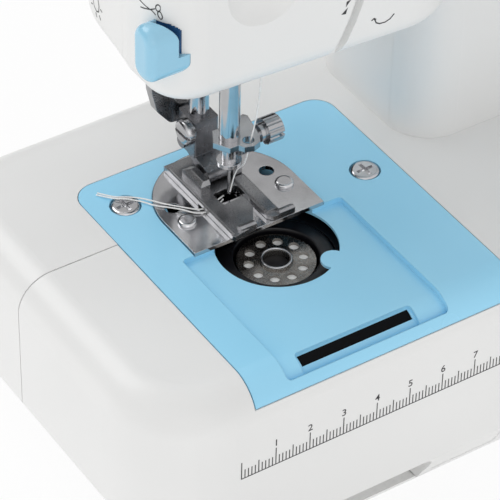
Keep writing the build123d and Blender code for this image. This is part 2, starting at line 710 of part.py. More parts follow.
with BuildPart() as foot_holder:
    block(needle_x - holder_half, needle_x + holder_half, holder_front, presser_y + 4.2,
          holder_low, holder_top)
    fillet(foot_holder.edges().filter_by(Axis.Z), radius=0.6)
    # ankle that hangs the foot
    with BuildSketch(Plane.YZ.offset(needle_x - ankle_half)):
        with Locations((cross_pin_y, cross_pin_z)):
            Circle(ankle_radius)
        with Locations((holder_front + 2.4, holder_low + 0.3)):
            Rectangle(4.8, 0.6)
        make_hull()
    extrude(amount=2 * ankle_half)
    # small lower screw, set in the left side
    axle(needle_x - holder_half - 1.6, needle_x - holder_half + 0.2, presser_y + 0.4, deck + 10.4,
         1.7)
    post(needle_x, presser_y, bar_low, holder_top + 1, bar_radius, mode=Mode.SUBTRACT)
    axle(needle_x - 6, needle_x + 6, cross_pin_y, cross_pin_z, cross_pin_radius + bearing,
         mode=Mode.SUBTRACT)
    axle(needle_x - 6, needle_x - 1.5, holder_screw_y, holder_screw_z, 1.55, mode=Mode.SUBTRACT)
keep(foot_holder, "foot_holder")

holder_screw_left = needle_x - holder_half - 3.2
with BuildPart() as holder_screw:
    axle(holder_screw_left, holder_screw_left + 2.4, holder_screw_y, holder_screw_z, 3.6)
    fillet(holder_screw.edges().group_by(Axis.X)[0], radius=1.5)
    axle(holder_screw_left + 2.4, needle_x - holder_half, holder_screw_y, holder_screw_z, 2.6)
    axle(needle_x - holder_half, needle_x - bar_radius - 0.05, holder_screw_y, holder_screw_z, 1.5)
    block(holder_screw_left - 1, holder_screw_left + 0.9, holder_screw_y - 4, holder_screw_y + 4,
          holder_screw_z - 0.5, holder_screw_z + 0.5, mode=Mode.SUBTRACT)
keep(holder_screw, "holder_screw")

# outline of the sole from the bobbin centre: left toe, needle window, right toe
sole_plan = ((-10.0, 38.0), (-10.0, 5.0), (-9.4, 4.4), (-7.4, 4.9), (-2.6, 5.6), (-2.3, 7.5),
             (0.9, 12.3), (0.9, 16.8), (0.3, 17.1), (-4.9, 16.5), (-5.4, 17.2), (-5.4, 21.4),
             (-4.9, 21.9), (1.3, 21.9), (1.9, 21.3), (1.9, 7.6), (3.3, 6.0), (4.8, 6.0),
             (5.7, 7.2), (5.7, 30.0), (2.4, 38.0))
rim_width = 0.8
rim_height = 0.6
toe_tips = ((-7.3, -2.6, 5.3), (4.6, 9.2, 5.6))
with BuildPart() as presser_foot:
    with BuildSketch(Plane.XY.offset(foot_low)):
        with BuildLine():
            Polyline(*[(bobbin_x + x, bobbin_y + y) for x, y in sole_plan], close=True)
        make_face()
    extrude(amount=sole_thickness)
    # raised rims along the two outer sides
    block(foot_left, foot_left + rim_width, bobbin_y + 5.6, bobbin_y + 36.0, sole_top,
          sole_top + rim_height)
    block(bobbin_x + 2.1, foot_right, bobbin_y + 8.0, bobbin_y + 24.0, sole_top,
          sole_top + rim_height)
    chamfer(presser_foot.edges().filter_by(Axis.Y).group_by(Axis.Z)[-1], length=0.35)
    # upturned tips of the two toes
    for left, right, front in toe_tips:
        with BuildSketch(Plane.YZ.offset(bobbin_x + left)):
            with BuildLine():
                Polyline((bobbin_y + front, foot_low + 0.5), (bobbin_y + front, foot_low + 2.2),
                         (bobbin_y + front + 0.7, foot_low + 2.6),
                         (bobbin_y + front + 2.0, foot_low + 2.0), (bobbin_y + front + 2.0, foot_low),
                         (bobbin_y + front + 0.6, foot_low), close=True)
            make_face()
        extrude(amount=right - left)
    # bevelled bar on the left and the cheek on the right, which hold the cross pin
    with BuildSketch(Plane.YZ.offset(bobbin_x - 8.1)):
        with BuildLine():
            Polyline((bobbin_y + 22.8, foot_low), (bobbin_y + 22.8, deck + 4.6),
                     (bobbin_y + 23.6, deck + 5.8), (bobbin_y + 29.6, deck + 5.8),
                     (bobbin_y + 32.2, deck + 4.2), (bobbin_y + 32.2, foot_low), close=True)
        make_face()
    extrude(amount=2.8)
    block(needle_x + ankle_half + running, foot_right - 0.4, bobbin_y + 24.4, bobbin_y + 29.6,
          foot_low, deck + 5.8)
    chamfer(presser_foot.edges().filter_by(Axis.Y).group_by(Axis.Z)[-1].sort_by(Axis.X)[0],
            length=1.0)
    axle(bobbin_x - 6, foot_right - 1, cross_pin_y, cross_pin_z, cross_pin_radius)
    # thread groove under the sole
    block(foot_left - 1, needle_x, needle_y - 3.2, needle_y + 0.6, foot_low - 1, foot_low + 0.75,
          mode=Mode.SUBTRACT)
keep(presser_foot, "presser_foot")

# ================================================================ frame inside the machine
beam_front = base_front + 90.0
beam_back = base_front + 100.0
beam_height = 8.0
column_left = pillar_left + 16.0
column_width = 8.0
head_plate_left = needle_x - 9.0
leg_left = needle_x + 17.0
leg_right = leg_left + frame_plate
bracket_left = housing_right - 13.5
lower_plate_height = 5.0
lower_plate_back = presser_y + 5.0
motor_plate_left = motor_belt_x - 9.5
motor_plate_width = 3.0
lower_beam_front = base_front + 86.0
lower_beam_back = base_front + 94.0
plate_reach = base_front + 58.0  # front of the plates in the head
bracket_reach = base_front + 62.0
lower_shaft_radius = 3.0
lower_bracket_left = bobbin_x + 18.0
lower_bracket_right = timing_x + 6.0
take_up_y = base_front + 91.0
take_up_z = deck + 105.0
take_up_x = needle_x - 10.0
take_up_width = 1.6
pivot_radius = 2.5
lifter_x = needle_x - 4.0
lifter_z = deck + 64.0
lifter_y = presser_y + 5.4
lifter_width = 3.0
feed_stem_y = (lower_beam_front + lower_beam_back) / 2
feed_stem_radius = 3.0
feed_guide_top = deck - 16.0
spool_pin_places = ((pillar_left - 6.3, (beam_front + beam_back) / 2),
                    (pillar_left + 72.7, (beam_front + beam_back) / 2))
spool_pin_radius = 3.0
spool_shank_radius = 3.2

with BuildPart() as mechanism_frame:
    # column from the bottom plate to the beam along the arm
    block(column_left, column_left + column_width, beam_front - 2, beam_back, shell_low, frame_top)
    block(head_plate_left, bracket_left + frame_plate, beam_front, beam_back,
          frame_top - beam_height, frame_top)
    # plates that guide the two bars in the head, and the leg between them
    block(head_plate_left, leg_right, plate_reach, beam_back, frame_top - frame_plate, frame_top)
    block(leg_left, leg_right, bracket_reach, beam_back, lower_plate_z, frame_top)
    block(needle_x - 7, leg_right, plate_reach + 1, lower_plate_back, lower_plate_z,
          lower_plate_z + lower_plate_height)
    # bracket of the main shaft at the handwheel end, and the plate that carries the motor
    block(bracket_left, bracket_left + frame_plate, bracket_reach, beam_back, shaft_z - 9, frame_top)
    block(motor_plate_left, motor_plate_left + motor_plate_width, motor_y - motor_radius,
          beam_back, motor_z - 18, motor_z + 18)
    block(motor_plate_left, motor_plate_left + motor_plate_width, beam_front, beam_back,
          motor_z + 18, frame_top)
    # pivot pins of the take-up lever and of the presser lifter
    block(needle_x - 7, needle_x - 1, take_up_y - 2, take_up_y + 3, take_up_z - 8, frame_top)
    axle(take_up_x - 0.5, needle_x - 7, take_up_y, take_up_z, pivot_radius)
    block(head_plate_left, leg_right, lifter_y + lifter_width + 0.8, lifter_y + lifter_width + 5,
          lifter_z - 5, lifter_z + 5)
    spindle(lifter_x, lifter_y - 0.5, lifter_y + lifter_width + 1, lifter_z, pivot_radius)
    # lower beam with the brackets of the lower shaft
    block(bobbin_x - 10, timing_x + 12, lower_beam_front, lower_beam_back, lower_shaft_z - 6,
          lower_shaft_z + 6)
    for x in (lower_bracket_left, lower_bracket_right):
        block(x, x + frame_plate, bracket_reach, lower_beam_back, lower_shaft_z - 6,
              lower_shaft_z + 6)
    # arm that carries the foot of the hook spindle, and the guide of the feed bar
    block(bobbin_x - 6, bobbin_x + 6, lower_beam_front, lower_beam_back, lower_bush_low,
          lower_shaft_z)
    block(bobbin_x - 6, bobbin_x + 6, bobbin_y, lower_beam_back, lower_bush_low, lower_bush_high)
    post(bobbin_x, bobbin_y, lower_bush_low, lower_bush_high, 7.0)
    block(needle_x - 6, needle_x + 6, lower_beam_front, lower_beam_back, lower_shaft_z + 6,
          feed_guide_top)
    # bores
    for y in (needle_y, presser_y):
        post(needle_x, y, lower_plate_z - 1, frame_top + 1, bar_bush_radius, mode=Mode.SUBTRACT)
    axle(leg_left - 1, bracket_left + 10, shaft_y, shaft_z, shaft_bush_radius, mode=Mode.SUBTRACT)
    axle(lower_bracket_left - 1, lower_bracket_right + 10, lower_shaft_y, lower_shaft_z,
         lower_shaft_radius + 1.2, mode=Mode.SUBTRACT)
    post(bobbin_x, bobbin_y, lower_bush_low - 1, lower_bush_high + 1, bar_bush_radius,
         mode=Mode.SUBTRACT)
    post(needle_x, feed_stem_y, lower_shaft_z + 6.5, feed_guide_top + 1,
         feed_stem_radius + bearing, mode=Mode.SUBTRACT)
    axle(motor_plate_left - 1, motor_plate_left + 4, motor_y, motor_z, 5.0, mode=Mode.SUBTRACT)
    # notch that the needle thread runs down through
    block(needle_x + 4.4, needle_x + 11, plate_reach, needle_y - 2.3, lower_plate_z - 1,
          lower_plate_z + lower_plate_height + 1, mode=Mode.SUBTRACT)
    for x, y in spool_pin_places:
        post(x, y, frame_top - beam_height - 1, frame_top + 1, spool_shank_radius + running,
             mode=Mode.SUBTRACT)
keep(mechanism_frame, "mechanism_frame")

with BuildPart() as bushes:
    for z, height in ((lower_plate_z, lower_plate_height), (frame_top - frame_plate, frame_plate)):
        for y in (needle_y, presser_y):
            post(needle_x, y, z, z + height, bar_bush_radius)
            post(needle_x, y, z - 1, z + height + 1, bar_radius + bearing, mode=Mode.SUBTRACT)
    for x in (leg_left, bracket_left):
        axle(x, x + frame_plate, shaft_y, shaft_z, shaft_bush_radius)
        axle(x - 1, x + frame_plate + 1, shaft_y, shaft_z, shaft_radius + bearing,
             mode=Mode.SUBTRACT)
    for x in (lower_bracket_left, lower_bracket_right):
        axle(x, x + frame_plate, lower_shaft_y, lower_shaft_z, lower_shaft_radius + 1.2)
        axle(x - 1, x + frame_plate + 1, lower_shaft_y, lower_shaft_z,
             lower_shaft_radius + bearing, mode=Mode.SUBTRACT)
    post(bobbin_x, bobbin_y, lower_bush_low, lower_bush_high, bar_bush_radius)
    post(bobbin_x, bobbin_y, lower_bush_low - 1, lower_bush_high + 1, hook_spindle_radius + bearing,
         mode=Mode.SUBTRACT)
keep(bushes, "bushes")

# ---------------------------------------------------------------- presser spring and lifter
spring_wire = 0.6
spring_radius = 4.5
spring_low = collar_z + 8.0
spring_high = frame_top - frame_plate
spring_turns = 9
spring_rise = spring_high - spring_low - 2 * spring_wire

with BuildPart() as presser_spring:
    with BuildLine():
        coil = Helix(pitch=spring_rise / spring_turns, height=spring_rise, radius=spring_radius,
                     center=(needle_x, presser_y, spring_low + spring_wire))
    with BuildSketch(Plane(origin=coil @ 0, z_dir=coil % 0)):
        Circle(spring_wire)
    sweep(path=coil, is_frenet=True)
keep(presser_spring, "presser_spring")

lifter_line = ((0, 0), (-4.6, -30.0), (-3.9, -39.0), (-2.6, -44.6), (0.2, -48.2), (3.2, -48.6))
lifter_breadth = 5.4
lobe_reach = 6.0
lobe_radius = 4.0

with BuildPart() as presser_lifter:
    with BuildSketch(across(lifter_y + lifter_width)):
        with Locations((lifter_x, lifter_z)):
            for start, end in zip(lifter_line, lifter_line[1:]):
                span = sqrt((end[0] - start[0]) ** 2 + (end[1] - start[1]) ** 2)
                middle = ((start[0] + end[0]) / 2, (start[1] + end[1]) / 2)
                lean = degrees(asin((end[1] - start[1]) / span))
                if end[0] < start[0]:
                    lean = 180 - lean
                with Locations(Location((middle[0], middle[1]), lean)):
                    SlotCenterToCenter(span, lifter_breadth)
            Circle(4.2)
            with Locations((lobe_reach, 0)):
                Circle(lobe_radius)
            with Locations((lobe_reach / 2, 0)):
                Rectangle(lobe_reach, 2 * lobe_radius)
    extrude(amount=lifter_width)
    spindle(lifter_x, lifter_y - 1, lifter_y + lifter_width + 1, lifter_z, pivot_radius + running,
            mode=Mode.SUBTRACT)
keep(presser_lifter, "presser_lifter")

# ================================================================ drive
crank_left = needle_x + 9.7
handwheel_left = housing_right + 3.0
hub_depth = 3.0

with BuildPart() as main_shaft:
    axle(crank_left, handwheel_left + handwheel_width - hub_depth, shaft_y, shaft_z, shaft_radius)
    chamfer(main_shaft.edges(), length=0.6)
keep(main_shaft, "main_shaft")

with BuildPart() as crank:
    axle(crank_left, crank_left + crank_disc_width, shaft_y, shaft_z, crank_disc_radius)
    fillet(crank.edges(), radius=0.8)
    # lightened on the side of the pin, so that the far side is the counterweight
    for side in (-1, 1):
        axle(crank_left - 1, crank_left + crank_disc_width + 1, shaft_y - 5.0,
             shaft_z + side * 9.5, 3.0, mode=Mode.SUBTRACT)
    axle(link_x - 0.8, crank_left + 2, crank_pin_y, crank_pin_z, link_pin)
    axle(crank_left - 1, crank_left + crank_disc_width + 1, shaft_y, shaft_z,
         shaft_radius, mode=Mode.SUBTRACT)
keep(crank, "crank")

with BuildPart() as connecting_link:
    with BuildSketch(Plane.YZ.offset(link_x)):
        with Locations((crank_pin_y, crank_pin_z), (needle_y, link_pin_z)):
            Circle(link_eye)
        lean = degrees(asin((needle_y - crank_pin_y) / link_length))
        with Locations(Location(((crank_pin_y + needle_y) / 2,
                                 (crank_pin_z + link_pin_z) / 2), lean)):
            Rectangle(5.0, link_length)
    extrude(amount=link_width)
    axle(link_x - 1, link_x + link_width + 1, crank_pin_y, crank_pin_z, link_pin + bearing,
         mode=Mode.SUBTRACT)
    axle(link_x - 1, link_x + link_width + 1, needle_y, link_pin_z, link_pin + bearing,
         mode=Mode.SUBTRACT)
keep(connecting_link, "connecting_link")

pulley_lip = 1.2
pulley_flange = 1.0


def belt_pulley(x0, y, z, radius, bore):
    """Flanged pulley for a belt that starts at x0."""
    with BuildPart() as pulley:
        axle(x0 - pulley_flange - running, x0 + belt_width + pulley_flange + running, y, z, radius)
        for x in (x0 - pulley_flange - running, x0 + belt_width + running):
            axle(x, x + pulley_flange, y, z, radius + pulley_lip)
        axle(x0 - 4, x0 + belt_width + 4, y, z, bore, mode=Mode.SUBTRACT)
    return pulley


def belt(x0, wheels):
    """Endless belt that runs round a pair of wheels, given as (y, z, radius)."""
    with BuildPart() as loop:
        with BuildSketch(Plane.YZ.offset(x0)):
            for y, z, radius in wheels:
                with Locations((y, z)):
                    Circle(radius + running + belt_thickness)
            make_hull()
        extrude(amount=belt_width)
        with BuildSketch(Plane.YZ.offset(x0 - 1)):
            for y, z, radius in wheels:
                with Locations((y, z)):
                    Circle(radius + running)
            make_hull()
        extrude(amount=belt_width + 2, mode=Mode.SUBTRACT)
    return loop


with BuildPart() as shaft_pulleys:
    for x, radius in ((motor_belt_x, shaft_pulley_radius), (timing_x, upper_pulley_radius)):
        add(belt_pulley(x - belt_width / 2, shaft_y, shaft_z, radius, shaft_radius).part)
keep(shaft_pulleys, "shaft_pulleys")
timing_belt = belt(timing_x - belt_width / 2,
                   ((shaft_y, shaft_z, upper_pulley_radius),
                    (lower_shaft_y, lower_shaft_z, lower_pulley_radius)))
keep(timing_belt, "timing_belt")
motor_belt = belt(motor_belt_x - belt_width / 2,
                  ((shaft_y, shaft_z, shaft_pulley_radius), (motor_y, motor_z, motor_pulley_radius)))
keep(motor_belt, "motor_belt")

with BuildPart() as lower_shaft:
    axle(bobbin_x - gear_width / 2, lower_bracket_right + frame_plate + 1, lower_shaft_y,
         lower_shaft_z, lower_shaft_radius)
    # moulded in one with the lower pulley
    add(belt_pulley(timing_x - belt_width / 2, lower_shaft_y, lower_shaft_z, lower_pulley_radius,
                    lower_shaft_radius - 0.5).part)
keep(lower_shaft, "lower_shaft")

with BuildPart() as drive_gear:
    axle(bobbin_x - gear_width / 2, bobbin_x + gear_width / 2, lower_shaft_y, lower_shaft_z,
         gear_radius)
    with BuildSketch(Plane.YZ.offset(bobbin_x - gear_width / 2 - 1)):
        with Locations((lower_shaft_y, lower_shaft_z)):
            with PolarLocations(gear_radius + 0.1, gear_teeth):
                Circle(tooth_gap)
    extrude(amount=gear_width + 2, mode=Mode.SUBTRACT)
    axle(bobbin_x - gear_width, bobbin_x + gear_width, lower_shaft_y, lower_shaft_z,
         lower_shaft_radius, mode=Mode.SUBTRACT)
keep(drive_gear, "drive_gear")

with BuildPart() as handwheel:
    axle(handwheel_left, handwheel_left + handwheel_width, shaft_y, shaft_z, handwheel_radius)
    fillet(handwheel.edges(), radius=3.5)
    # finger flutes round the rim and a dish in the face
    for turn in range(30):
        flute = radians(12 * turn)
        axle(handwheel_left - 1, handwheel_left + handwheel_width + 1,
             shaft_y + (handwheel_radius + 0.6) * cos(flute),
             shaft_z + (handwheel_radius + 0.6) * sin(flute), 1.3, mode=Mode.SUBTRACT)
    axle(handwheel_left + handwheel_width - 1.5, handwheel_left + handwheel_width + 1, shaft_y,
         shaft_z, handwheel_radius - 6, mode=Mode.SUBTRACT)
    axle(handwheel_left - 1, handwheel_left + handwheel_width - hub_depth, shaft_y, shaft_z,
         shaft_radius, mode=Mode.SUBTRACT)
keep(handwheel, "handwheel")

spindle_radius = 1.6
with BuildPart() as motor:
    axle(motor_plate_left - motor_length, motor_plate_left, motor_y, motor_z, motor_radius)
    fillet(motor.edges(), radius=2)
    axle(motor_plate_left - 4, motor_plate_left + 2.5, motor_y, motor_z, 4.9)
    axle(motor_plate_left - motor_length - 3, motor_plate_left - motor_length + 2, motor_y,
         motor_z, 5.0)
    # cooling slots in the can
    for turn in range(6):
        slot_angle = radians(60 * turn)
        axle(motor_plate_left - 34, motor_plate_left - 14, motor_y + motor_radius * cos(slot_angle),
             motor_z + motor_radius * sin(slot_angle), 1.5, mode=Mode.SUBTRACT)
    axle(motor_plate_left - 8, motor_plate_left + 4, motor_y, motor_z,
         spindle_radius + bearing, mode=Mode.SUBTRACT)
keep(motor, "motor")

with BuildPart() as motor_pulley:
    add(belt_pulley(motor_belt_x - belt_width / 2, motor_y, motor_z, motor_pulley_radius,
                    spindle_radius).part)
    axle(motor_plate_left - 7, motor_belt_x + belt_width / 2 + 1.5, motor_y, motor_z,
         spindle_radius)
keep(motor_pulley, "motor_pulley")

# ---------------------------------------------------------------- take-up lever
take_up_reach = 57.0
with BuildPart() as take_up_lever:
    with BuildSketch(Plane.YZ.offset(take_up_x)):
        with Locations((take_up_y, take_up_z)):
            Circle(5.5)
        with BuildLine():
            Polyline((take_up_y, take_up_z + 4.5), (take_up_y - take_up_reach + 3, take_up_z + 3.5),
                     (take_up_y - take_up_reach + 3, take_up_z - 2.5),
                     (take_up_y, take_up_z - 4.5), close=True)
        make_face()
        with Locations((take_up_y - take_up_reach + 3, take_up_z + 0.5)):
            Circle(3.0)
    extrude(amount=take_up_width)
    axle(take_up_x - 1, take_up_x + 3, take_up_y, take_up_z, pivot_radius + bearing,
         mode=Mode.SUBTRACT)
    axle(take_up_x - 1, take_up_x + 3, take_up_y - take_up_reach + 3, take_up_z + 0.5, 1.2,
         mode=Mode.SUBTRACT)
keep(take_up_lever, "take_up_lever")

# ---------------------------------------------------------------- feed
feed_lift = 1.5
feed_travel = 1.5
feed_low = deck - 3.1
feed_high = deck - 0.9
teeth_top = plate_top - running
feed_front = plate_front + 3.2 + feed_travel + 0.4
feed_back = needle_y + 12.9

with BuildPart() as feed_bar:
    block(needle_x - 8, needle_x + 8, needle_y + 4.7, needle_y + 13.2, deck - 10, feed_low - running)
    block(needle_x - 8, needle_x + 8, needle_y + 9, lower_beam_back, deck - 14, deck - 8)
    fillet(feed_bar.edges().filter_by(Axis.Z), radius=1.0)
    post(needle_x, feed_stem_y, lower_shaft_z + 8.0, deck - 10, feed_stem_radius)
keep(feed_bar, "feed_bar")

with BuildPart() as feed_dog:
    block(needle_x - 7, needle_x + 7, feed_front, feed_back, feed_low, feed_high)
    block(needle_x - 2.6, needle_x + 2.6, needle_y - 5.5, needle_y + 6.5, feed_low - 1, feed_high + 1,
          mode=Mode.SUBTRACT)
    for shift in feed_slots:
        tooth_front = needle_y - 9.0
        block(needle_x + shift - 0.8, needle_x + shift + 0.8, tooth_front, needle_y + 9.8, feed_low,
              teeth_top)
        # saw-tooth top
        for tooth in range(11):
            with Locations(Location((needle_x + shift - 1, tooth_front + 0.9 + 1.7 * tooth,
                                     teeth_top + 0.1), (45, 0, 0))):
                Box(3, 0.9, 0.9, align=(Align.MIN, Align.CENTER, Align.CENTER),
                    mode=Mode.SUBTRACT)
keep(feed_dog, "feed_dog")

# ================================================================ housings and controls
screw_head_radius = 3.4
screw_head_height = 2.4
screw_seat_y = housing_back - 7.0
boss_radius = 4.8
screw_places = ((head_left + 16, arm_top - 16), (pillar_left + 57.7, arm_top - 16),
                (housing_right - 14, arm_top - 16), (housing_right - 14, deck + 14),
                (pillar_left + 9, deck + 14))
front_screw_end = pillar_front + 4.0
wall_inside = pillar_front + shell_wall
button_radius = 6.0
button_flange_radius = 7.5
button_flange = 1.4
button_proud = 2.5
button_travel = 2.2
button_column = base_right - 33.5
power_button_place = (button_column, deck + 23)
speed_button_place = (button_column, deck + 45)
reverse_button_place = (pillar_left + 48.0, deck + 30)
reverse_button_radius = 8.5
stitch_dial_x = pillar_left + 64.0
stitch_dial_z = deck + 62.0
stitch_dial_radius = 21.0
tension_x = bobbin_x + 21.0
tension_z = deck + 133.0
tension_dial_radius = 11.0
dial_stem_radius = 3.5
board_left = base_right - 55.5
board_right = base_right - 19.5
board_low = deck + 20.0
board_high = deck + 57.0
board_front = pillar_front + 9.0
board_thickness = 1.6
board_pegs = [(x, z) for x in (board_left + 3, board_right - 3)
              for z in (board_low + 3, board_high - 3)]
jack_y = base_front + 86.0
jack_heights = (deck + 17.0, deck + 33.0)
jack_half = 5.0
jack_mouth = 4.0
lamp_left = needle_x - 20.0
lamp_front = base_front + 56.0
lamp_size = 8.0
lamp_switch_y = base_front + 77.0
lamp_switch_z = deck + 92.0
lamp_switch_radius = 5.0
winder_x = base_right - 35.5
winder_y = base_front + 78.0
winder_radius = 2.5
channel_depth = 3.0
channel_width = 2.4
scoop_depth = 3.6
scoop_radius = 16.0
scoop_x = bobbin_x - 5.4
scoop_face = head_front + (sweep_start - scoop_x) * tan(radians(nose_angle))
scoop_low = deck + 79.0
scoop_high = deck + 126.0

outer_form = housing_form(0)
inner_form = housing_form(shell_wall)

with BuildPart() as front_housing:
    add(outer_form)
    add(inner_form, mode=Mode.SUBTRACT)
    # backing of the thread channel and of the take-up recess
    block(tension_x - 9, tension_x + 6, head_front + 1, head_front + channel_depth + shell_wall,
          head_low + 1, tension_z + 6)
    block(scoop_x - 12, scoop_x + 12, head_front + 1, scoop_face + scoop_depth + shell_wall,
          deck + 66, deck + 140)
    # screw bosses, button wells and board pegs
    for x, z in screw_places:
        spindle(x, (pillar_front if x > pillar_left else head_front) + 1.2, split_y, z, boss_radius)
    for x, z in board_pegs:
        spindle(x, pillar_front + 1, board_front, z, 2.2)
    add(outer_form, mode=Mode.INTERSECT)
    split(bisect_by=Plane.XZ.offset(-split_y), keep=Keep.TOP)
    for x, z in screw_places:
        spindle(x, front_screw_end, split_y + 1, z, mount_screw_radius, mode=Mode.SUBTRACT)
    # soft hollow that the take-up lever runs in, with its slot
    post(scoop_x, scoop_face + scoop_depth - scoop_radius, scoop_low, scoop_high, scoop_radius,
         mode=Mode.SUBTRACT)
    for z in (scoop_low, scoop_high):
        with Locations((scoop_x, scoop_face + scoop_depth - scoop_radius, z)):
            Sphere(scoop_radius, mode=Mode.SUBTRACT)
    block(take_up_x - 0.6, take_up_x + take_up_width + 0.6, head_front - 1, head_front + 10,
          take_up_z - 25, take_up_z + 26, mode=Mode.SUBTRACT)
    # thread channel from the tension discs down to the lower edge
    with BuildSketch(across(head_front)):
        with BuildLine():
            channel_line = Polyline((tension_x + 0.6, tension_z - 12), (tension_x + 0.6, deck + 66),
                                    (tension_x - 1.2, deck + 61), (tension_x - 3, deck + 57),
                                    (tension_x - 5.6, deck + 52))
            offset(amount=channel_width / 2)
        make_face()
    extrude(amount=-channel_depth, mode=Mode.SUBTRACT)
    # openings for the dials and buttons
    spindle(tension_x, head_front - 1, head_front + 8, tension_z, dial_stem_radius + running,
            mode=Mode.SUBTRACT)
    spindle(stitch_dial_x, pillar_front - 1, pillar_front + 4, stitch_dial_z,
            dial_stem_radius + running, mode=Mode.SUBTRACT)
    for x, z in (power_button_place, speed_button_place):
        spindle(x, pillar_front - 1, pillar_front + 4, z, button_radius + running,
                mode=Mode.SUBTRACT)
    spindle(reverse_button_place[0], pillar_front - 1, pillar_front + 4, reverse_button_place[1],
            reverse_button_radius + running, mode=Mode.SUBTRACT)
    axle(housing_right - 4, housing_right + 1, shaft_y, shaft_z, shaft_radius + 1.5,
         mode=Mode.SUBTRACT)
    # openings under the head for the needle bar and the lamp
    block(needle_x - 9, needle_x + 13, head_front + 10, split_y + 1, head_low - 1, head_low + 4,
          mode=Mode.SUBTRACT)
    block(lamp_left, lamp_left + lamp_size, lamp_front, lamp_front + lamp_size, head_low - 1,
          head_low + 4, mode=Mode.SUBTRACT)
keep(front_housing, "front_housing")

with BuildPart() as screw_tubes:
    for x, z in screw_places:
        spindle(x, split_y, housing_back - 1, z, boss_radius)
    post(winder_x, winder_y, arm_top - 11, arm_top - 1, 6.0)
    add(outer_form, mode=Mode.INTERSECT)

with BuildPart() as rear_housing:
    add(outer_form)
    add(inner_form, mode=Mode.SUBTRACT)
    split(bisect_by=Plane.XZ.offset(-split_y), keep=Keep.BOTTOM)
    add(screw_tubes.part)
    for x, z in screw_places:
        spindle(x, split_y - 1, housing_back + 1, z, mount_screw_radius + 0.2, mode=Mode.SUBTRACT)
        spindle(x, screw_seat_y, housing_back + 1, z, screw_head_radius + 0.3, mode=Mode.SUBTRACT)
    axle(head_left - 2, head_left + 8, lamp_switch_y, lamp_switch_z, lamp_switch_radius + running,
         mode=Mode.SUBTRACT)
    for z in jack_heights:
        axle(housing_right - 5, housing_right + 1, jack_y, z, jack_mouth + 0.1, mode=Mode.SUBTRACT)
    axle(housing_right - 4, housing_right + 1, shaft_y, shaft_z, shaft_radius + 1.5,
         mode=Mode.SUBTRACT)
    # opening under the head for the presser bar and its lifter
    block(needle_x - 13, needle_x + 13, split_y - 1, lifter_y + lifter_width + 1.6, head_low - 1,
          head_low + 4, mode=Mode.SUBTRACT)
    for x, y in spool_pin_places:
        post(x, y, arm_top - 5, arm_top + 1, spool_shank_radius + running, mode=Mode.SUBTRACT)
    post(winder_x, winder_y, arm_top - 12, arm_top + 1, winder_radius + bearing,
         mode=Mode.SUBTRACT)
keep(rear_housing, "rear_housing")

with BuildPart() as housing_screws:
    for x, z in screw_places:
        spindle(x, front_screw_end + 0.5, screw_seat_y + 0.2, z, mount_screw_radius)
        spindle(x, screw_seat_y, screw_seat_y + screw_head_height, z, screw_head_radius)
    for x, z in screw_places:
        for width, height in ((4.4, 1.0), (1.0, 4.4)):
            block(x - width / 2, x + width / 2, screw_seat_y + screw_head_height - 1.3,
                  screw_seat_y + screw_head_height + 1, z - height / 2, z + height / 2,
                  mode=Mode.SUBTRACT)
keep(housing_screws, "housing_screws")

# ---------------------------------------------------------------- dials and buttons
with BuildPart() as tension_dial:
    spindle(tension_x, head_front - 9, head_front - 1.0, tension_z, tension_dial_radius)
    fillet(tension_dial.edges().group_by(Axis.Y)[0], radius=1.5)
    for turn in range(24):
        flute = radians(15 * turn)
        spindle(tension_x + (tension_dial_radius + 0.4) * cos(flute), head_front - 10,
                head_front, tension_z + (tension_dial_radius + 0.4) * sin(flute), 0.8,
                mode=Mode.SUBTRACT)
    spindle(tension_x, head_front - 2, head_front + channel_depth + shell_wall + 1, tension_z,
            dial_stem_radius)
    spindle(tension_x, head_front + channel_depth + shell_wall + 0.4,
            head_front + channel_depth + shell_wall + 1.6, tension_z, dial_stem_radius + 1.5)
keep(tension_dial, "tension_dial")

with BuildPart() as tension_discs:
    # two dished discs on a pin that stands on the housing wall beside the dial stem
    for step in (0, 1.4):
        spindle(tension_x, head_front + 8.2 + step, head_front + 9.2 + step, tension_z, 8.0)
    spindle(tension_x, head_front + 7.4, head_front + 12.0, tension_z, 1.6)
    block(tension_x + 5.0, tension_x + 6.6, head_front + channel_depth + shell_wall,
          head_front + 12.0, tension_z - 3, tension_z + 3)
    block(tension_x - 1.5, tension_x + 6.6, head_front + 10.8, head_front + 12.4, tension_z - 3,
          tension_z + 3)
keep(tension_discs, "tension_discs")

with BuildPart() as stitch_dial:
    spindle(stitch_dial_x, pillar_front - 2.6, pillar_front - 0.6, stitch_dial_z,
            stitch_dial_radius)
    spindle(stitch_dial_x, pillar_front - 11, pillar_front - 2.0, stitch_dial_z,
            stitch_dial_radius - 5)
    fillet(stitch_dial.edges().group_by(Axis.Y)[0], radius=1.2)
    for turn in range(18):
        flute = radians(20 * turn)
        spindle(stitch_dial_x + (stitch_dial_radius - 4.2) * cos(flute), pillar_front - 12,
                pillar_front - 2.6, stitch_dial_z + (stitch_dial_radius - 4.2) * sin(flute), 1.5,
                mode=Mode.SUBTRACT)
    spindle(stitch_dial_x, pillar_front - 1, pillar_front + 5, stitch_dial_z, dial_stem_radius)
    spindle(stitch_dial_x, wall_inside + running, wall_inside + 1.7, stitch_dial_z,
            dial_stem_radius + 2)
keep(stitch_dial, "stitch_dial")


def push_button(x, z, radius, flange_radius):
    """Round button in the front wall, with the flange that holds it in."""
    with BuildPart() as button:
        spindle(x, pillar_front - button_proud, wall_inside + 1, z, radius)
        fillet(button.edges().group_by(Axis.Y)[0], radius=0.8)
        spindle(x, wall_inside + running, wall_inside + running + button_flange, z, flange_radius)
        spindle(x, wall_inside + 1, board_front - button_travel - 0.5, z, 1.5)
    return button


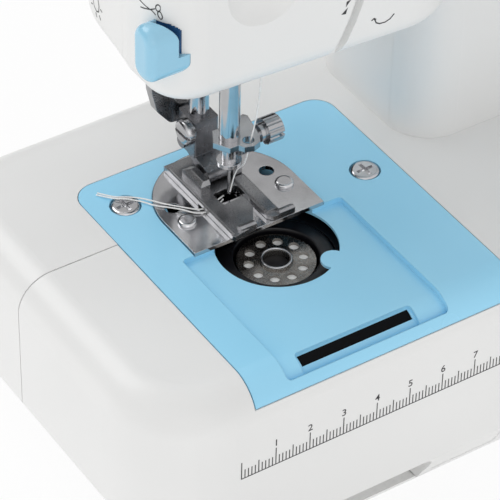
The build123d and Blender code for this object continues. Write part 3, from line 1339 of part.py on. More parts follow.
power_button = push_button(*power_button_place, button_radius, button_flange_radius)
keep(power_button, "power_button")
speed_button = push_button(*speed_button_place, button_radius, button_flange_radius)
keep(speed_button, "speed_button")
reverse_button = push_button(*reverse_button_place, reverse_button_radius,
                             reverse_button_radius + 1.5)
keep(reverse_button, "reverse_button")

with BuildPart() as lamp_switch:
    axle(head_left - 2.0, head_left + 5.5, lamp_switch_y, lamp_switch_z, lamp_switch_radius)
    fillet(lamp_switch.edges().group_by(Axis.X)[0], radius=0.8)
    axle(head_left + 5.2, head_left + 6.6, lamp_switch_y, lamp_switch_z, lamp_switch_radius + 1.5)
keep(lamp_switch, "lamp_switch")

# ---------------------------------------------------------------- lamp, board and sockets
with BuildPart() as lamp_lens:
    block(lamp_left + 0.1, lamp_left + lamp_size - 0.1, lamp_front + 0.1,
          lamp_front + lamp_size - 0.1, head_low - 0.8, head_low + shell_wall)
    fillet(lamp_lens.edges().group_by(Axis.Z)[0], radius=0.7)
    block(lamp_left - 1.2, lamp_left + lamp_size + 0.6, lamp_front - 1.2,
          lamp_front + lamp_size + 1.2, head_low + shell_wall, head_low + shell_wall + 1.4)
keep(lamp_lens, "lamp_lens")

with BuildPart() as circuit_board:
    block(board_left, board_right, board_front, board_front + board_thickness, board_low,
          board_high)
    # switches behind the two buttons, a control chip, a capacitor and a plug
    block(board_left + 3, board_left + 9, board_front + board_thickness,
          board_front + board_thickness + 1.2, board_low + 12, board_low + 28)
    block(board_right - 9, board_right - 1, board_front + board_thickness,
          board_front + board_thickness + 5, board_high - 14, board_high - 6)
    spindle(board_right - 7, board_front + board_thickness, board_front + board_thickness + 8,
            board_low + 4.5, 3.0)
keep(circuit_board, "circuit_board")

with BuildPart() as jacks:
    for z in jack_heights:
        block(housing_right - 9.2, housing_right - shell_wall, jack_y - jack_half,
              jack_y + jack_half, z - jack_half, z + jack_half)
        axle(housing_right - shell_wall - 1, housing_right + 0.4, jack_y, z, jack_mouth)
    for z in jack_heights:
        axle(housing_right - 7.6, housing_right + 1, jack_y, z, 2.7, mode=Mode.SUBTRACT)
        axle(housing_right - 8.2, housing_right - 1.2, jack_y, z, 0.9)
keep(jacks, "jacks")

# ---------------------------------------------------------------- thread cutter
cutter_proud = 4.5
cutter_front = bobbin_y + 2.6
cutter_back = bobbin_y + 11.2
cutter_low = deck + 60.0
cutter_high = deck + 75.2
cutter_slit = 1.7             # gap between the pad and the head
slit_low = cutter_low + 6.5
slit_back = cutter_back - 2.6

with BuildPart() as thread_slit:
    add(housing_form(-cutter_slit))
    block(head_left - cutter_proud, head_left + 12, cutter_front - 1, slit_back, slit_low,
          cutter_high + 1, mode=Mode.INTERSECT)

with BuildPart() as thread_cutter:
    block(head_left - cutter_proud, head_left + 9, cutter_front, cutter_back, cutter_low,
          cutter_high)
    fillet(thread_cutter.edges().filter_by(Axis.X).group_by(Axis.Z)[0], radius=4.0)
    fillet(thread_cutter.edges().filter_by(Axis.X).group_by(Axis.Z)[-1], radius=4.0)
    fillet(thread_cutter.edges().group_by(Axis.X)[0], radius=2.4)
    add(outer_form, mode=Mode.SUBTRACT)
    add(thread_slit.part, mode=Mode.SUBTRACT)
keep(thread_cutter, "thread_cutter")

with BuildPart() as cutter_blade:
    block(head_left + 0.2, head_left + 0.7, slit_back - 2.1, slit_back, slit_low, cutter_high - 1.6)
keep(cutter_blade, "cutter_blade")

# ---------------------------------------------------------------- spool pins and bobbin winder
spool_pin_proud = 38.0
spool_pin_travel = 24.0
for name, (x, y) in zip(("spool_pin_left", "spool_pin_right"), spool_pin_places):
    with BuildPart() as spool_pin:
        post(x, y, frame_top - beam_height - 2.0, arm_top + spool_pin_proud, spool_pin_radius)
        fillet(spool_pin.edges().group_by(Axis.Z)[-1], radius=1.8)
        post(x, y, frame_top - beam_height - 2.0, arm_top + 1.0, spool_shank_radius)
        post(x, y, frame_top - beam_height - 2.4, frame_top - beam_height - running,
             spool_pin_radius + 1.6)
    keep(spool_pin, name)

with BuildPart() as winder_spindle:
    post(winder_x, winder_y, arm_top - 13.5, arm_top + 16, winder_radius)
    fillet(winder_spindle.edges().group_by(Axis.Z)[-1], radius=0.8)
    post(winder_x, winder_y, arm_top - 14, arm_top - 11.3, winder_radius + 2)
    post(winder_x, winder_y, arm_top + 0.8, arm_top + 2.6, 8.5)
    # spring clip that grips the bobbin
    block(winder_x - 3.1, winder_x + 3.1, winder_y - 0.6, winder_y + 0.6, arm_top + 2.6, arm_top + 11)
keep(winder_spindle, "winder_spindle")

# ================================================================ thread
thread_radius = 0.2


def thread_tube(name, route):
    """Thread along straight runs joined by the largest tangent arcs that they allow."""
    points = [Vector(bobbin_x + x, bobbin_y + y, deck + z) for x, y, z in route]
    radii = []
    for before, here, after in zip(points, points[1:], points[2:]):
        shorter = min((here - before).length, (after - here).length)
        half_turn = radians((here - before).get_angle(after - here)) / 2
        radii.append(0.45 * shorter / tan(half_turn))
    with BuildPart() as tube:
        with BuildLine():
            path = FilletPolyline(*points, radius=radii)
        with BuildSketch(Plane(origin=path @ 0, z_dir=path % 0)):
            Circle(thread_radius)
        sweep(path=path)
    length = path.length
    print(name, "length", round(length, 2), "radii", [round(radius, 1) for radius in radii],
          "volume / (section x length)", round(tube.part.volume / (pi * thread_radius ** 2 * length), 4))
    return tube


# route points from the bobbin centre on the work surface, chosen by hand
needle_thread_route = (
    (4.5, 14.0, 60.8), (4.5, 15.3, 42.0), (4.6, 16.8, 27.5), (2.4, 17.0, 18.0), (1.7, 17.7, 11.8),
    (0.8, 19.8, 9.4), (-0.2, 20.2, 6.4), (-1.2, 20.0, 2.4),
)
tail_route_a = (
    (-2.6, 20.9, 1.1), (-4.9, 20.3, 1.05), (-7.7, 19.4, 1.0), (-10.6, 19.1, 1.0),
    (-14.0, 22.4, 1.2), (-17.0, 25.6, 1.2), (-18.8, 28.5, 1.0), (-21.0, 32.0, 0.6),
    (-24.0, 33.8, 1.0), (-26.6, 35.4, 0.8), (-29.0, 39.7, 0.3),
)
tail_route_b = (
    (-3.4, 19.8, 1.0), (-5.4, 18.7, 1.05), (-8.0, 17.9, 1.0), (-10.6, 17.8, 1.0),
    (-12.7, 19.1, 1.0), (-14.6, 21.4, 1.4), (-17.3, 24.8, 1.0), (-19.5, 26.9, 0.9),
    (-20.8, 30.0, 0.5), (-22.2, 31.7, 0.5), (-24.9, 33.3, 1.2), (-27.0, 34.8, 0.9),
    (-29.6, 39.2, 0.3),
)
needle_thread = thread_tube("needle_thread", needle_thread_route)
keep(needle_thread, "needle_thread")
thread_tail_a = thread_tube("thread_tail_a", tail_route_a)
keep(thread_tail_a, "thread_tail_a")
thread_tail_b = thread_tube("thread_tail_b", tail_route_b)
keep(thread_tail_b, "thread_tail_b")
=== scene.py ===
"""Looks of a compact free-arm sewing machine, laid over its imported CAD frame.

Metres, +X to the handwheel end, +Y to the back, +Z up, as in the frame.
"""
from math import cos, pi, radians, sin

import bmesh
import bpy
from mathutils import Matrix, Vector


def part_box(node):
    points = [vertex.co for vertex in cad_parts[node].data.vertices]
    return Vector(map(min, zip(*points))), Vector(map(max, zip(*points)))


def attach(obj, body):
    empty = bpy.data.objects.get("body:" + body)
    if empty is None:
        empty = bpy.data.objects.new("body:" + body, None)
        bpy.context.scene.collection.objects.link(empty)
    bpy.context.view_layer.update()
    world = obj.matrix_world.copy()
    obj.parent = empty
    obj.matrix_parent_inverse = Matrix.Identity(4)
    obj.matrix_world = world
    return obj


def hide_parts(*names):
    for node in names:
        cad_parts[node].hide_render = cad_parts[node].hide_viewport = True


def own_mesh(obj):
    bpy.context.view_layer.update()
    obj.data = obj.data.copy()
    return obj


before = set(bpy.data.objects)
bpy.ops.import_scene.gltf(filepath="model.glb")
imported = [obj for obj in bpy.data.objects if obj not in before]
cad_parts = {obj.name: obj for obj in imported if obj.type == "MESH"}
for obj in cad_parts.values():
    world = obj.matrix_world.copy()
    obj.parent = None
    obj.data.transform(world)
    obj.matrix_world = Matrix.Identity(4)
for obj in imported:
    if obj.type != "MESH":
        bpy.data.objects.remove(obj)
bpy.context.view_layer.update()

bl_info = {
    "name": "Sewing Machine Dress",
    "version": (1, 0, 0),
    "blender": (4, 5, 0),
    "location": "View3D > Sidebar > Sewing",
    "description": "Finishes, printed ruler, threads, small metal work and stage of a sewing machine",
    "category": "Object",
}

MM = 0.001


# ---------------------------------------------------------------- places, read from the frame
def middle(name):
    """Centre of a CAD node's box."""
    low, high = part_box(name)
    return (low + high) / 2


BASE_LOW, BASE_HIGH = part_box("base_shell")
DECK = BASE_HIGH.z
DRAWER_LOW, DRAWER_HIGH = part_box("accessory_drawer")
BOBBIN = middle("bobbin")
HEAD_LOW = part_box("front_housing")[0]

# ---------------------------------------------------------------- small sizes
PRINT_LIFT = 0.03 * MM      # ruler ink above the wall
SYMBOL_LIFT = 0.04 * MM     # symbol ink above the housing
SYMBOL_FRONT = -1.2         # y of the front symbols before they are laid on, mm from the bobbin
THREAD_DIAMETER = 0.4 * MM
WELD = 0.005 * MM           # vertices nearer than this are one


# ---------------------------------------------------------------- colour and shader helpers
def tint(code, alpha=1.0):
    """Linear colour of an sRGB hex code such as E4E4E2."""
    parts = [int(code[i:i + 2], 16) / 255 for i in (0, 2, 4)]
    return tuple(c / 12.92 if c <= 0.04045 else ((c + 0.055) / 1.055) ** 2.4 for c in parts) + (alpha,)


def add_node(tree, kind, values=None, links=None, **settings):
    """One shader node with its settings, socket values and links, given as (node, socket)."""
    made = tree.nodes.new(kind)
    for key, value in settings.items():
        setattr(made, key, value)
    for key, value in (values or {}).items():
        made.inputs[key].default_value = value
    for key, (source, socket) in (links or {}).items():
        tree.links.new(source.outputs[socket], made.inputs[key])
    return made


def blank_material(name):
    """A new material with one Principled shader on its output, and a coordinate node."""
    material = bpy.data.materials.new(name)
    material.use_nodes = True
    tree = material.node_tree
    tree.nodes.clear()
    shader = add_node(tree, "ShaderNodeBsdfPrincipled")
    add_node(tree, "ShaderNodeOutputMaterial", links={"Surface": (shader, "BSDF")})
    place = add_node(tree, "ShaderNodeTexCoord")
    return material, tree, shader, place


def blend_colour(tree, shader, place, dark, light, size_mm, contrast=(0.4, 0.6), detail=3.0):
    """Base colour that drifts between two tints over patches of the given size."""
    noise = add_node(tree, "ShaderNodeTexNoise",
                     {"Scale": 1 / (size_mm * MM), "Detail": detail, "Roughness": 0.55},
                     {"Vector": (place, "Object")})
    ramp = add_node(tree, "ShaderNodeValToRGB", links={"Fac": (noise, "Fac")})
    ramp.color_ramp.elements[0].position = contrast[0]
    ramp.color_ramp.elements[1].position = contrast[1]
    ramp.color_ramp.elements[0].color = tint(dark)
    ramp.color_ramp.elements[1].color = tint(light)
    tree.links.new(ramp.outputs["Color"], shader.inputs["Base Color"])


def vary_roughness(tree, shader, place, low, high, size_mm, stretch=(1, 1, 1)):
    """Roughness that drifts between two values, with the pattern stretched along an axis."""
    turn = add_node(tree, "ShaderNodeMapping", {"Scale": stretch}, {"Vector": (place, "Object")})
    noise = add_node(tree, "ShaderNodeTexNoise", {"Scale": 1 / (size_mm * MM), "Detail": 4.0},
                     {"Vector": (turn, "Vector")})
    span = add_node(tree, "ShaderNodeMapRange",
                    {"From Min": 0.35, "From Max": 0.65, "To Min": low, "To Max": high},
                    {"Value": (noise, "Fac")})
    tree.links.new(span.outputs["Result"], shader.inputs["Roughness"])


def grain(tree, shader, place, size_mm, height_mm, stretch=(1, 1, 1), strength=1.0, edge_mm=0.25):
    """Fine surface relief of the given grain size and height, on edges worn round."""
    turn = add_node(tree, "ShaderNodeMapping", {"Scale": stretch}, {"Vector": (place, "Object")})
    noise = add_node(tree, "ShaderNodeTexNoise", {"Scale": 1 / (size_mm * MM), "Detail": 2.0},
                     {"Vector": (turn, "Vector")})
    edge = add_node(tree, "ShaderNodeBevel", {"Radius": edge_mm * MM}, samples=4)
    bump = add_node(tree, "ShaderNodeBump", {"Strength": strength, "Distance": height_mm * MM},
                    {"Height": (noise, "Fac"), "Normal": (edge, "Normal")})
    tree.links.new(bump.outputs["Normal"], shader.inputs["Normal"])


def moulded_plastic(name, dark, light, rough, grain_mm=0.5, relief_mm=0.004, patch_mm=40, ior=1.53,
                    coat=0.0, glow=0.0):
    """Injection-moulded plastic: flow marks as a faint drift of tint, and a fine mould grain."""
    material, tree, shader, place = blank_material(name)
    blend_colour(tree, shader, place, dark, light, patch_mm, (0.25, 0.75), 1.0)
    vary_roughness(tree, shader, place, rough - 0.03, rough + 0.04, patch_mm)
    grain(tree, shader, place, grain_mm, relief_mm)
    shader.inputs["IOR"].default_value = ior
    shader.inputs["Coat Weight"].default_value = coat
    shader.inputs["Coat Roughness"].default_value = 0.12
    if glow:
        shader.inputs["Subsurface Weight"].default_value = glow
        shader.inputs["Subsurface Radius"].default_value = (0.0012, 0.0014, 0.0016)
        shader.inputs["Subsurface Scale"].default_value = 1.0
    return material


def metal(name, dark, light, rough_low, rough_high, line_mm=0.6, stretch=(1, 1, 1), relief_mm=0.002,
          patch_mm=3.0):
    """Solid metal, with machining lines as a stretched drift of its roughness and relief."""
    material, tree, shader, place = blank_material(name)
    blend_colour(tree, shader, place, dark, light, patch_mm)
    vary_roughness(tree, shader, place, rough_low, rough_high, line_mm, stretch)
    grain(tree, shader, place, line_mm, relief_mm, stretch)
    shader.inputs["Metallic"].default_value = 1.0
    return material


# ---------------------------------------------------------------- modelling helpers
def clear_selection():
    """Object mode with nothing selected."""
    if bpy.context.object and bpy.context.object.mode != "OBJECT":
        bpy.ops.object.mode_set(mode="OBJECT")
    bpy.ops.object.select_all(action="DESELECT")


def focus(piece):
    """The piece alone selected and active."""
    clear_selection()
    piece.select_set(True)
    bpy.context.view_layer.objects.active = piece


def named(name):
    """The object that the last add operator made, renamed."""
    piece = bpy.context.object
    piece.name = name
    piece.data.name = name
    return piece


def settle(piece):
    """Puts the piece's place into its mesh, with the object at the origin."""
    focus(piece)
    bpy.ops.object.transform_apply(location=True, rotation=True, scale=True)


def use_material(piece, material):
    """Fills the piece's material slots."""
    piece.data.materials.clear()
    piece.data.materials.append(material)


def apply_modifier(piece, kind, **settings):
    """Adds a modifier and applies it."""
    focus(piece)
    made = piece.modifiers.new(kind.title(), kind)
    for key, value in settings.items():
        setattr(made, key, value)
    bpy.ops.object.modifier_apply(modifier=made.name)


def pick(piece, test, kind="FACE"):
    """In edit mode, selects the faces, edges or vertices whose place passes a test."""
    focus(piece)
    bpy.ops.object.mode_set(mode="EDIT")
    bpy.ops.mesh.select_mode(type=kind)
    bpy.ops.mesh.select_all(action="DESELECT")
    shape = bmesh.from_edit_mesh(piece.data)
    if kind == "FACE":
        for face in shape.faces:
            if test(face.calc_center_median(), face.normal):
                face.select = True
    elif kind == "EDGE":
        for edge in shape.edges:
            if test(edge.verts[0].co, edge.verts[1].co):
                edge.select = True
    else:
        for vert in shape.verts:
            if test(vert.co):
                vert.select = True
    shape.select_flush_mode()
    bmesh.update_edit_mesh(piece.data)


def leave_edit():
    """Back to object mode."""
    bpy.ops.object.mode_set(mode="OBJECT")


def tidy_mesh(piece, angle=35):
    """Merges doubles, turns the faces outwards and shades the piece smooth by angle."""
    focus(piece)
    bpy.ops.object.mode_set(mode="EDIT")
    bpy.ops.mesh.select_all(action="SELECT")
    bpy.ops.mesh.remove_doubles(threshold=WELD)
    bpy.ops.mesh.normals_make_consistent(inside=False)
    bpy.ops.object.mode_set(mode="OBJECT")
    bpy.ops.object.shade_smooth_by_angle(angle=radians(angle))


def join(pieces, name):
    """Joins pieces into the first one."""
    clear_selection()
    for piece in pieces:
        piece.select_set(True)
    bpy.context.view_layer.objects.active = pieces[0]
    if len(pieces) > 1:
        bpy.ops.object.join()
    made = bpy.context.object
    made.name = name
    made.data.name = name
    return made


# ---------------------------------------------------------------- sizes and colours for the user
class SEWING_PG_finish(bpy.types.PropertyGroup):
    """Colours of the outside"""

    shell: bpy.props.StringProperty(name="Shell", description="Light tint of the housings, sRGB hex",
                                    default="EEEEED")
    shell_shade: bpy.props.StringProperty(name="Shell flow marks", default="EAEAE9",
                                          description="Darker tint of the housings, sRGB hex")
    cover: bpy.props.StringProperty(name="Cover", description="Tint of the blue cover, sRGB hex",
                                    default="A4E2FF")
    cutter: bpy.props.StringProperty(name="Cutter", description="Tint of the thread cutter, sRGB hex",
                                     default="9CD2EC")
    ink: bpy.props.StringProperty(name="Ink", description="Tint of the printed marks, sRGB hex",
                                  default="3A3A3C")


class SEWING_PG_ruler(bpy.types.PropertyGroup):
    """Printed ruler along the front of the base"""

    start: bpy.props.FloatProperty(name="Start", description="First mark from the drawer's left end",
                                   default=25.0 * MM, unit="LENGTH")
    height: bpy.props.FloatProperty(name="Height", description="Base line above the table",
                                    default=38.2 * MM, unit="LENGTH")
    count: bpy.props.IntProperty(name="Centimetres", description="Length of the ruler", default=12,
                                 min=1)
    tall: bpy.props.FloatProperty(name="Centimetre mark", description="Height of a centimetre mark",
                                  default=5.7 * MM, unit="LENGTH")
    half: bpy.props.FloatProperty(name="Half mark", description="Height of a five millimetre mark",
                                  default=4.2 * MM, unit="LENGTH")
    short: bpy.props.FloatProperty(name="Millimetre mark", description="Height of a millimetre mark",
                                   default=3.0 * MM, unit="LENGTH")
    numeral: bpy.props.FloatProperty(name="Numeral", description="Height of the numerals",
                                     default=2.1 * MM, unit="LENGTH")
    line: bpy.props.FloatProperty(name="Line", description="Width of a printed line",
                                  default=0.3 * MM, unit="LENGTH")
    stroke: bpy.props.FloatProperty(name="Symbol line", description="Width of a symbol's line",
                                    default=0.34 * MM, unit="LENGTH")


class SEWING_PG_stage(bpy.types.PropertyGroup):
    """Camera, lamps and floor"""

    azimuth: bpy.props.FloatProperty(name="Azimuth", description="Camera turn from straight ahead",
                                     default=radians(-33.811), subtype="ANGLE")
    elevation: bpy.props.FloatProperty(name="Elevation", description="Camera above the horizon",
                                       default=radians(40.455), subtype="ANGLE")
    roll: bpy.props.FloatProperty(name="Roll", description="Camera roll", default=radians(1.235),
                                  subtype="ANGLE")
    lens: bpy.props.FloatProperty(name="Lens", description="Focal length in millimetres",
                                  default=217.1)
    distance: bpy.props.FloatProperty(name="Distance", description="Camera to the aim point",
                                      default=0.7578, unit="LENGTH")
    key: bpy.props.FloatProperty(name="Key lamp", description="Power of the lamp in front, watts",
                                 default=0.9)
    fill: bpy.props.FloatProperty(name="Top lamp", description="Power of the lamp above, watts",
                                  default=4.0)
    sky: bpy.props.FloatProperty(name="Sky", description="Strength of the light from all round",
                                 default=0.73)
    table: bpy.props.FloatProperty(name="Table glow", default=1.6,
                                   description="Brightness of the lit table under the machine")


# ---------------------------------------------------------------- stage
class SEWING_OT_stage(bpy.types.Operator):
    """Camera, pale floor, soft lamps and white surroundings"""

    bl_idname = "sewing.stage"
    bl_label = "Stage"

    def execute(self, context):
        user = context.scene.sewing_stage
        clear_selection()
        aim = Vector((BOBBIN.x, BOBBIN.y, DECK)) + Vector((-7.8, 0.4, 0)) * MM
        turn, lift = user.azimuth, user.elevation
        back = Vector((sin(turn) * cos(lift), -cos(turn) * cos(lift), sin(lift)))
        right = Vector((cos(turn), sin(turn), 0))
        up = back.cross(right)
        rolled = (cos(user.roll) * right + sin(user.roll) * up,
                  cos(user.roll) * up - sin(user.roll) * right, back)
        stand = aim + back * user.distance
        bpy.ops.object.camera_add(location=stand)
        camera = named("camera")
        camera.matrix_world = Matrix.Translation(stand) @ Matrix(rolled).transposed().to_4x4()
        camera.data.lens = user.lens
        camera.data.sensor_width = 36
        camera.data.clip_start = 0.01
        camera.data.clip_end = 20
        context.scene.camera = camera

        for name, place, target, size, power in (
                ("front", (-0.6, -1.0, 0.45), (-0.05, 0, 0.08), 0.9, user.key),
                ("back", (-0.45, 0.75, 1.0), (-0.07, 0, 0.08), 0.9, user.fill)):
            bpy.ops.object.light_add(type="AREA", location=place)
            lamp = named("lamp_" + name)
            aimed = (Vector(target) - Vector(place)).to_track_quat("-Z", "Y")
            lamp.rotation_euler = aimed.to_euler()
            lamp.data.shape = "DISK"
            lamp.data.size = size
            lamp.data.energy = power

        bpy.ops.mesh.primitive_plane_add(size=8, location=(0, 0, 0))
        floor = named("floor")
        use_material(floor, self.floor_material(user.table))
        self.surroundings(user.sky)
        context.scene.view_settings.view_transform = "Standard"
        return {"FINISHED"}

    def floor_material(self, glow):
        """Matt white paper on a light table: plain white to the eye, with the object's shadow on it."""
        material, tree, shader, place = blank_material("stage_paper")
        blend_colour(tree, shader, place, "F4F4F4", "F8F8F8", 200)
        shader.inputs["Roughness"].default_value = 0.9
        rays = add_node(tree, "ShaderNodeLightPath")
        seen = add_node(tree, "ShaderNodeMath", {1: 0.9}, {0: (rays, "Is Camera Ray")},
                        operation="MULTIPLY")
        lit = add_node(tree, "ShaderNodeMath", {1: 0.4}, {0: (rays, "Is Diffuse Ray")},
                       operation="MULTIPLY")
        white = add_node(tree, "ShaderNodeEmission", {"Color": (1, 1, 1, 1), "Strength": 1.0})
        table = add_node(tree, "ShaderNodeEmission", {"Color": (1, 1, 1, 1), "Strength": glow})
        first = add_node(tree, "ShaderNodeMixShader", links={0: (lit, 0), 1: (shader, "BSDF"),
                                                              2: (table, "Emission")})
        both = add_node(tree, "ShaderNodeMixShader", links={0: (seen, 0), 1: (first, 0),
                                                             2: (white, "Emission")})
        output = [n for n in tree.nodes if n.bl_idname == "ShaderNodeOutputMaterial"][0]
        tree.links.new(both.outputs[0], output.inputs["Surface"])
        return material

    def surroundings(self, strength):
        """White for the eye, even white as light, and for gloss a room that is dark at the back."""
        world = bpy.data.worlds.new("surroundings")
        bpy.context.scene.world = world
        world.use_nodes = True
        tree = world.node_tree
        tree.nodes.clear()
        rays = add_node(tree, "ShaderNodeLightPath")
        eye = add_node(tree, "ShaderNodeMath", operation="MAXIMUM",
                       links={0: (rays, "Is Camera Ray"), 1: (rays, "Is Transmission Ray")})
        light = add_node(tree, "ShaderNodeBackground", {"Color": (1, 1, 1, 1), "Strength": strength})
        place = add_node(tree, "ShaderNodeTexCoord")
        split = add_node(tree, "ShaderNodeSeparateXYZ", links={"Vector": (place, "Generated")})
        depth = self.ramp(tree, split, "Y", ((-0.25, "FFFFFF"), (0.15, "8C8C8E"), (0.45, "2C2C2E")))
        height = self.ramp(tree, split, "Z", ((0.5, "000000"), (0.68, "E2E2E2")))
        room = add_node(tree, "ShaderNodeMix", {0: 1.0}, {6: (depth, "Color"), 7: (height, "Color")},
                        data_type="RGBA", blend_type="LIGHTEN")
        gloss = add_node(tree, "ShaderNodeBackground", {"Strength": 0.9}, {"Color": (room, 2)})
        white = add_node(tree, "ShaderNodeBackground", {"Color": (1, 1, 1, 1), "Strength": 1.0})
        first = add_node(tree, "ShaderNodeMixShader",
                         links={0: (rays, "Is Glossy Ray"), 1: (light, 0), 2: (gloss, 0)})
        both = add_node(tree, "ShaderNodeMixShader", links={0: (eye, 0), 1: (first, 0), 2: (white, 0)})
        add_node(tree, "ShaderNodeOutputWorld", links={"Surface": (both, 0)})

    def ramp(self, tree, split, axis, stops):
        """Tint along one axis of the direction, with stops between -1 and 1."""
        span = add_node(tree, "ShaderNodeMapRange", {"From Min": -1.0, "From Max": 1.0},
                        {"Value": (split, axis)})
        made = add_node(tree, "ShaderNodeValToRGB", links={"Fac": (span, "Result")})
        while len(made.color_ramp.elements) < len(stops):
            made.color_ramp.elements.new(0.5)
        for element, (place, code) in zip(made.color_ramp.elements, stops):
            element.position = (place + 1) / 2
        for element, (place, code) in zip(made.color_ramp.elements, stops):
            element.color = tint(code)
        return made


# ---------------------------------------------------------------- finishes of the CAD nodes
class SEWING_OT_finishes(bpy.types.Operator):
    """Gives every CAD node its real finish"""

    bl_idname = "sewing.finishes"
    bl_label = "Finishes"

    def execute(self, context):
        user = context.scene.sewing_finish
        made = {
            # ABS, injection moulded and left as moulded: satin, with a soft broad highlight
            "abs_white": moulded_plastic("abs_white_satin", user.shell_shade, user.shell, 0.34),
            # ABS in a polished mould: glossy, tinted through, so its edges look lighter
            "abs_blue": moulded_plastic("abs_blue_gloss", "9CDCFA", user.cover, 0.24, relief_mm=0.002),
            "abs_cutter": moulded_plastic("abs_cutter_gloss", "96CCE6", user.cutter, 0.16,
                                          relief_mm=0.001, coat=0.4),
            # POM, black: dense and slightly waxy
            "pom_black": moulded_plastic("pom_black_satin", "0C0C10", "121218", 0.3),
            # steel, nickel plated and polished: mirror with faint draw lines
            "nickel": metal("nickel_plated_steel", "C9C9CB", "D6D6D8", 0.09, 0.15, 0.5, (1, 6, 1),
                            patch_mm=12),
            # steel, pressed and plated thinly: a grey sheen with the grain of the sheet
            "satin": metal("pressed_plated_steel", "9A9A9C", "ADADAF", 0.24, 0.34, 0.4, (1, 8, 1),
                           relief_mm=0.004, patch_mm=7),
            # the bobbin's thin sheet: darker, brushed in turning
            "sheet": metal("brushed_thin_sheet", "8C8884", "A39F9A", 0.2, 0.32, 0.3, relief_mm=0.003,
                           patch_mm=4),
            # steel, turned and plated: bright with rings left by the tool
            "steel": metal("turned_bright_steel", "B4B4B6", "C4C4C6", 0.14, 0.22, 0.25, (6, 1, 6),
                           patch_mm=8),
            # zinc alloy, die cast and plated: darker, with a soft pebbled skin
            "zinc": metal("zinc_die_casting", "77777A", "8A8A8D", 0.26, 0.38, 0.8, relief_mm=0.01,
                          patch_mm=6),
            "alloy": metal("aluminium_die_casting", "97999B", "A9ABAD", 0.38, 0.55, 0.9, relief_mm=0.02),
            "spring": metal("spring_steel_wire", "808286", "A0A2A6", 0.2, 0.34, 0.3),
            "bronze": metal("sintered_bronze", "8C6A3C", "A9834C", 0.35, 0.5, 0.2, relief_mm=0.01),
            # nylon, moulded: off-white and waxy
            "nylon": moulded_plastic("nylon_natural", "D8D6CA", "E2E0D5", 0.42, glow=0.1),
            "rubber": moulded_plastic("rubber_moulded", "161616", "1E1E1E", 0.62, relief_mm=0.01),
            "board": moulded_plastic("glass_fibre_board", "1C5A34", "23683E", 0.35, patch_mm=2),
            "socket": moulded_plastic("pbt_black", "131315", "1A1A1D", 0.4),
            "thread": self.spun_thread(),
            "lens": self.clear_lens(),
        }
        finish = {
            "abs_white": ("base_shell", "front_housing", "rear_housing", "accessory_drawer", "bottom_plate",
                          "battery_cover", "handwheel", "power_button", "speed_button", "reverse_button",
                          "lamp_switch", "spool_pin_left", "spool_pin_right", "winder_spindle"),
            "abs_blue": ("plate_cover", "stitch_dial", "tension_dial"),
            "abs_cutter": ("thread_cutter",),
            "pom_black": ("hook", "bobbin_case"),
            "nickel": ("needle_plate", "needle_bar", "presser_bar", "needle_plate_screws",
                       "plate_cover_screws"),
            "satin": ("presser_foot", "presser_lifter"),
            "sheet": ("bobbin",),
            "steel": ("needle_clamp", "clamp_screw", "holder_screw", "needle", "main_shaft",
                      "cutter_blade", "tension_discs", "motor_pulley", "feed_dog", "take_up_lever",
                      "housing_screws", "crank", "connecting_link"),
            "zinc": ("foot_holder", "feed_bar", "motor"),
            "alloy": ("mechanism_frame",),
            "spring": ("presser_spring",),
            "bronze": ("bushes",),
            "nylon": ("shaft_pulleys", "lower_shaft", "drive_gear"),
            "rubber": ("rubber_feet", "timing_belt", "motor_belt"),
            "board": ("circuit_board",),
            "socket": ("jacks",),
            "thread": ("bobbin_thread", "needle_thread", "thread_tail_a", "thread_tail_b"),
            "lens": ("lamp_lens",),
        }
        given = set()
        for kind, names in finish.items():
            for name in names:
                use_slots(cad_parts[name], made[kind])
                given.add(name)
        if given != set(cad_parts):
            raise RuntimeError(f"nodes without a finish: {sorted(set(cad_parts) - given)}")
        return {"FINISHED"}

    def spun_thread(self):
        """Spun polyester thread: matt white, with its twist as a fine slanting relief."""
        material, tree, shader, place = blank_material("spun_polyester_thread")
        blend_colour(tree, shader, place, "F4F4F2", "FFFFFF", 0.6)
        grain(tree, shader, place, 0.25, 0.05, (1, 1, 3))
        shader.inputs["Roughness"].default_value = 0.75
        shader.inputs["Sheen Weight"].default_value = 0.3
        return material

    def clear_lens(self):
        """Clear polycarbonate, frosted inside: lets the lamp's place show as a soft pale patch."""
        material, tree, shader, place = blank_material("polycarbonate_frosted")
        blend_colour(tree, shader, place, "E6EDF0", "F2F6F8", 4)
        grain(tree, shader, place, 0.4, 0.01)
        shader.inputs["Roughness"].default_value = 0.25
        shader.inputs["Transmission Weight"].default_value = 0.6
        shader.inputs["IOR"].default_value = 1.58
        return material


def use_slots(piece, material):
    """Assigns a material to each of a CAD node's slots."""
    if not piece.material_slots:
        piece.data.materials.append(material)
    for slot in piece.material_slots:
        slot.material = material


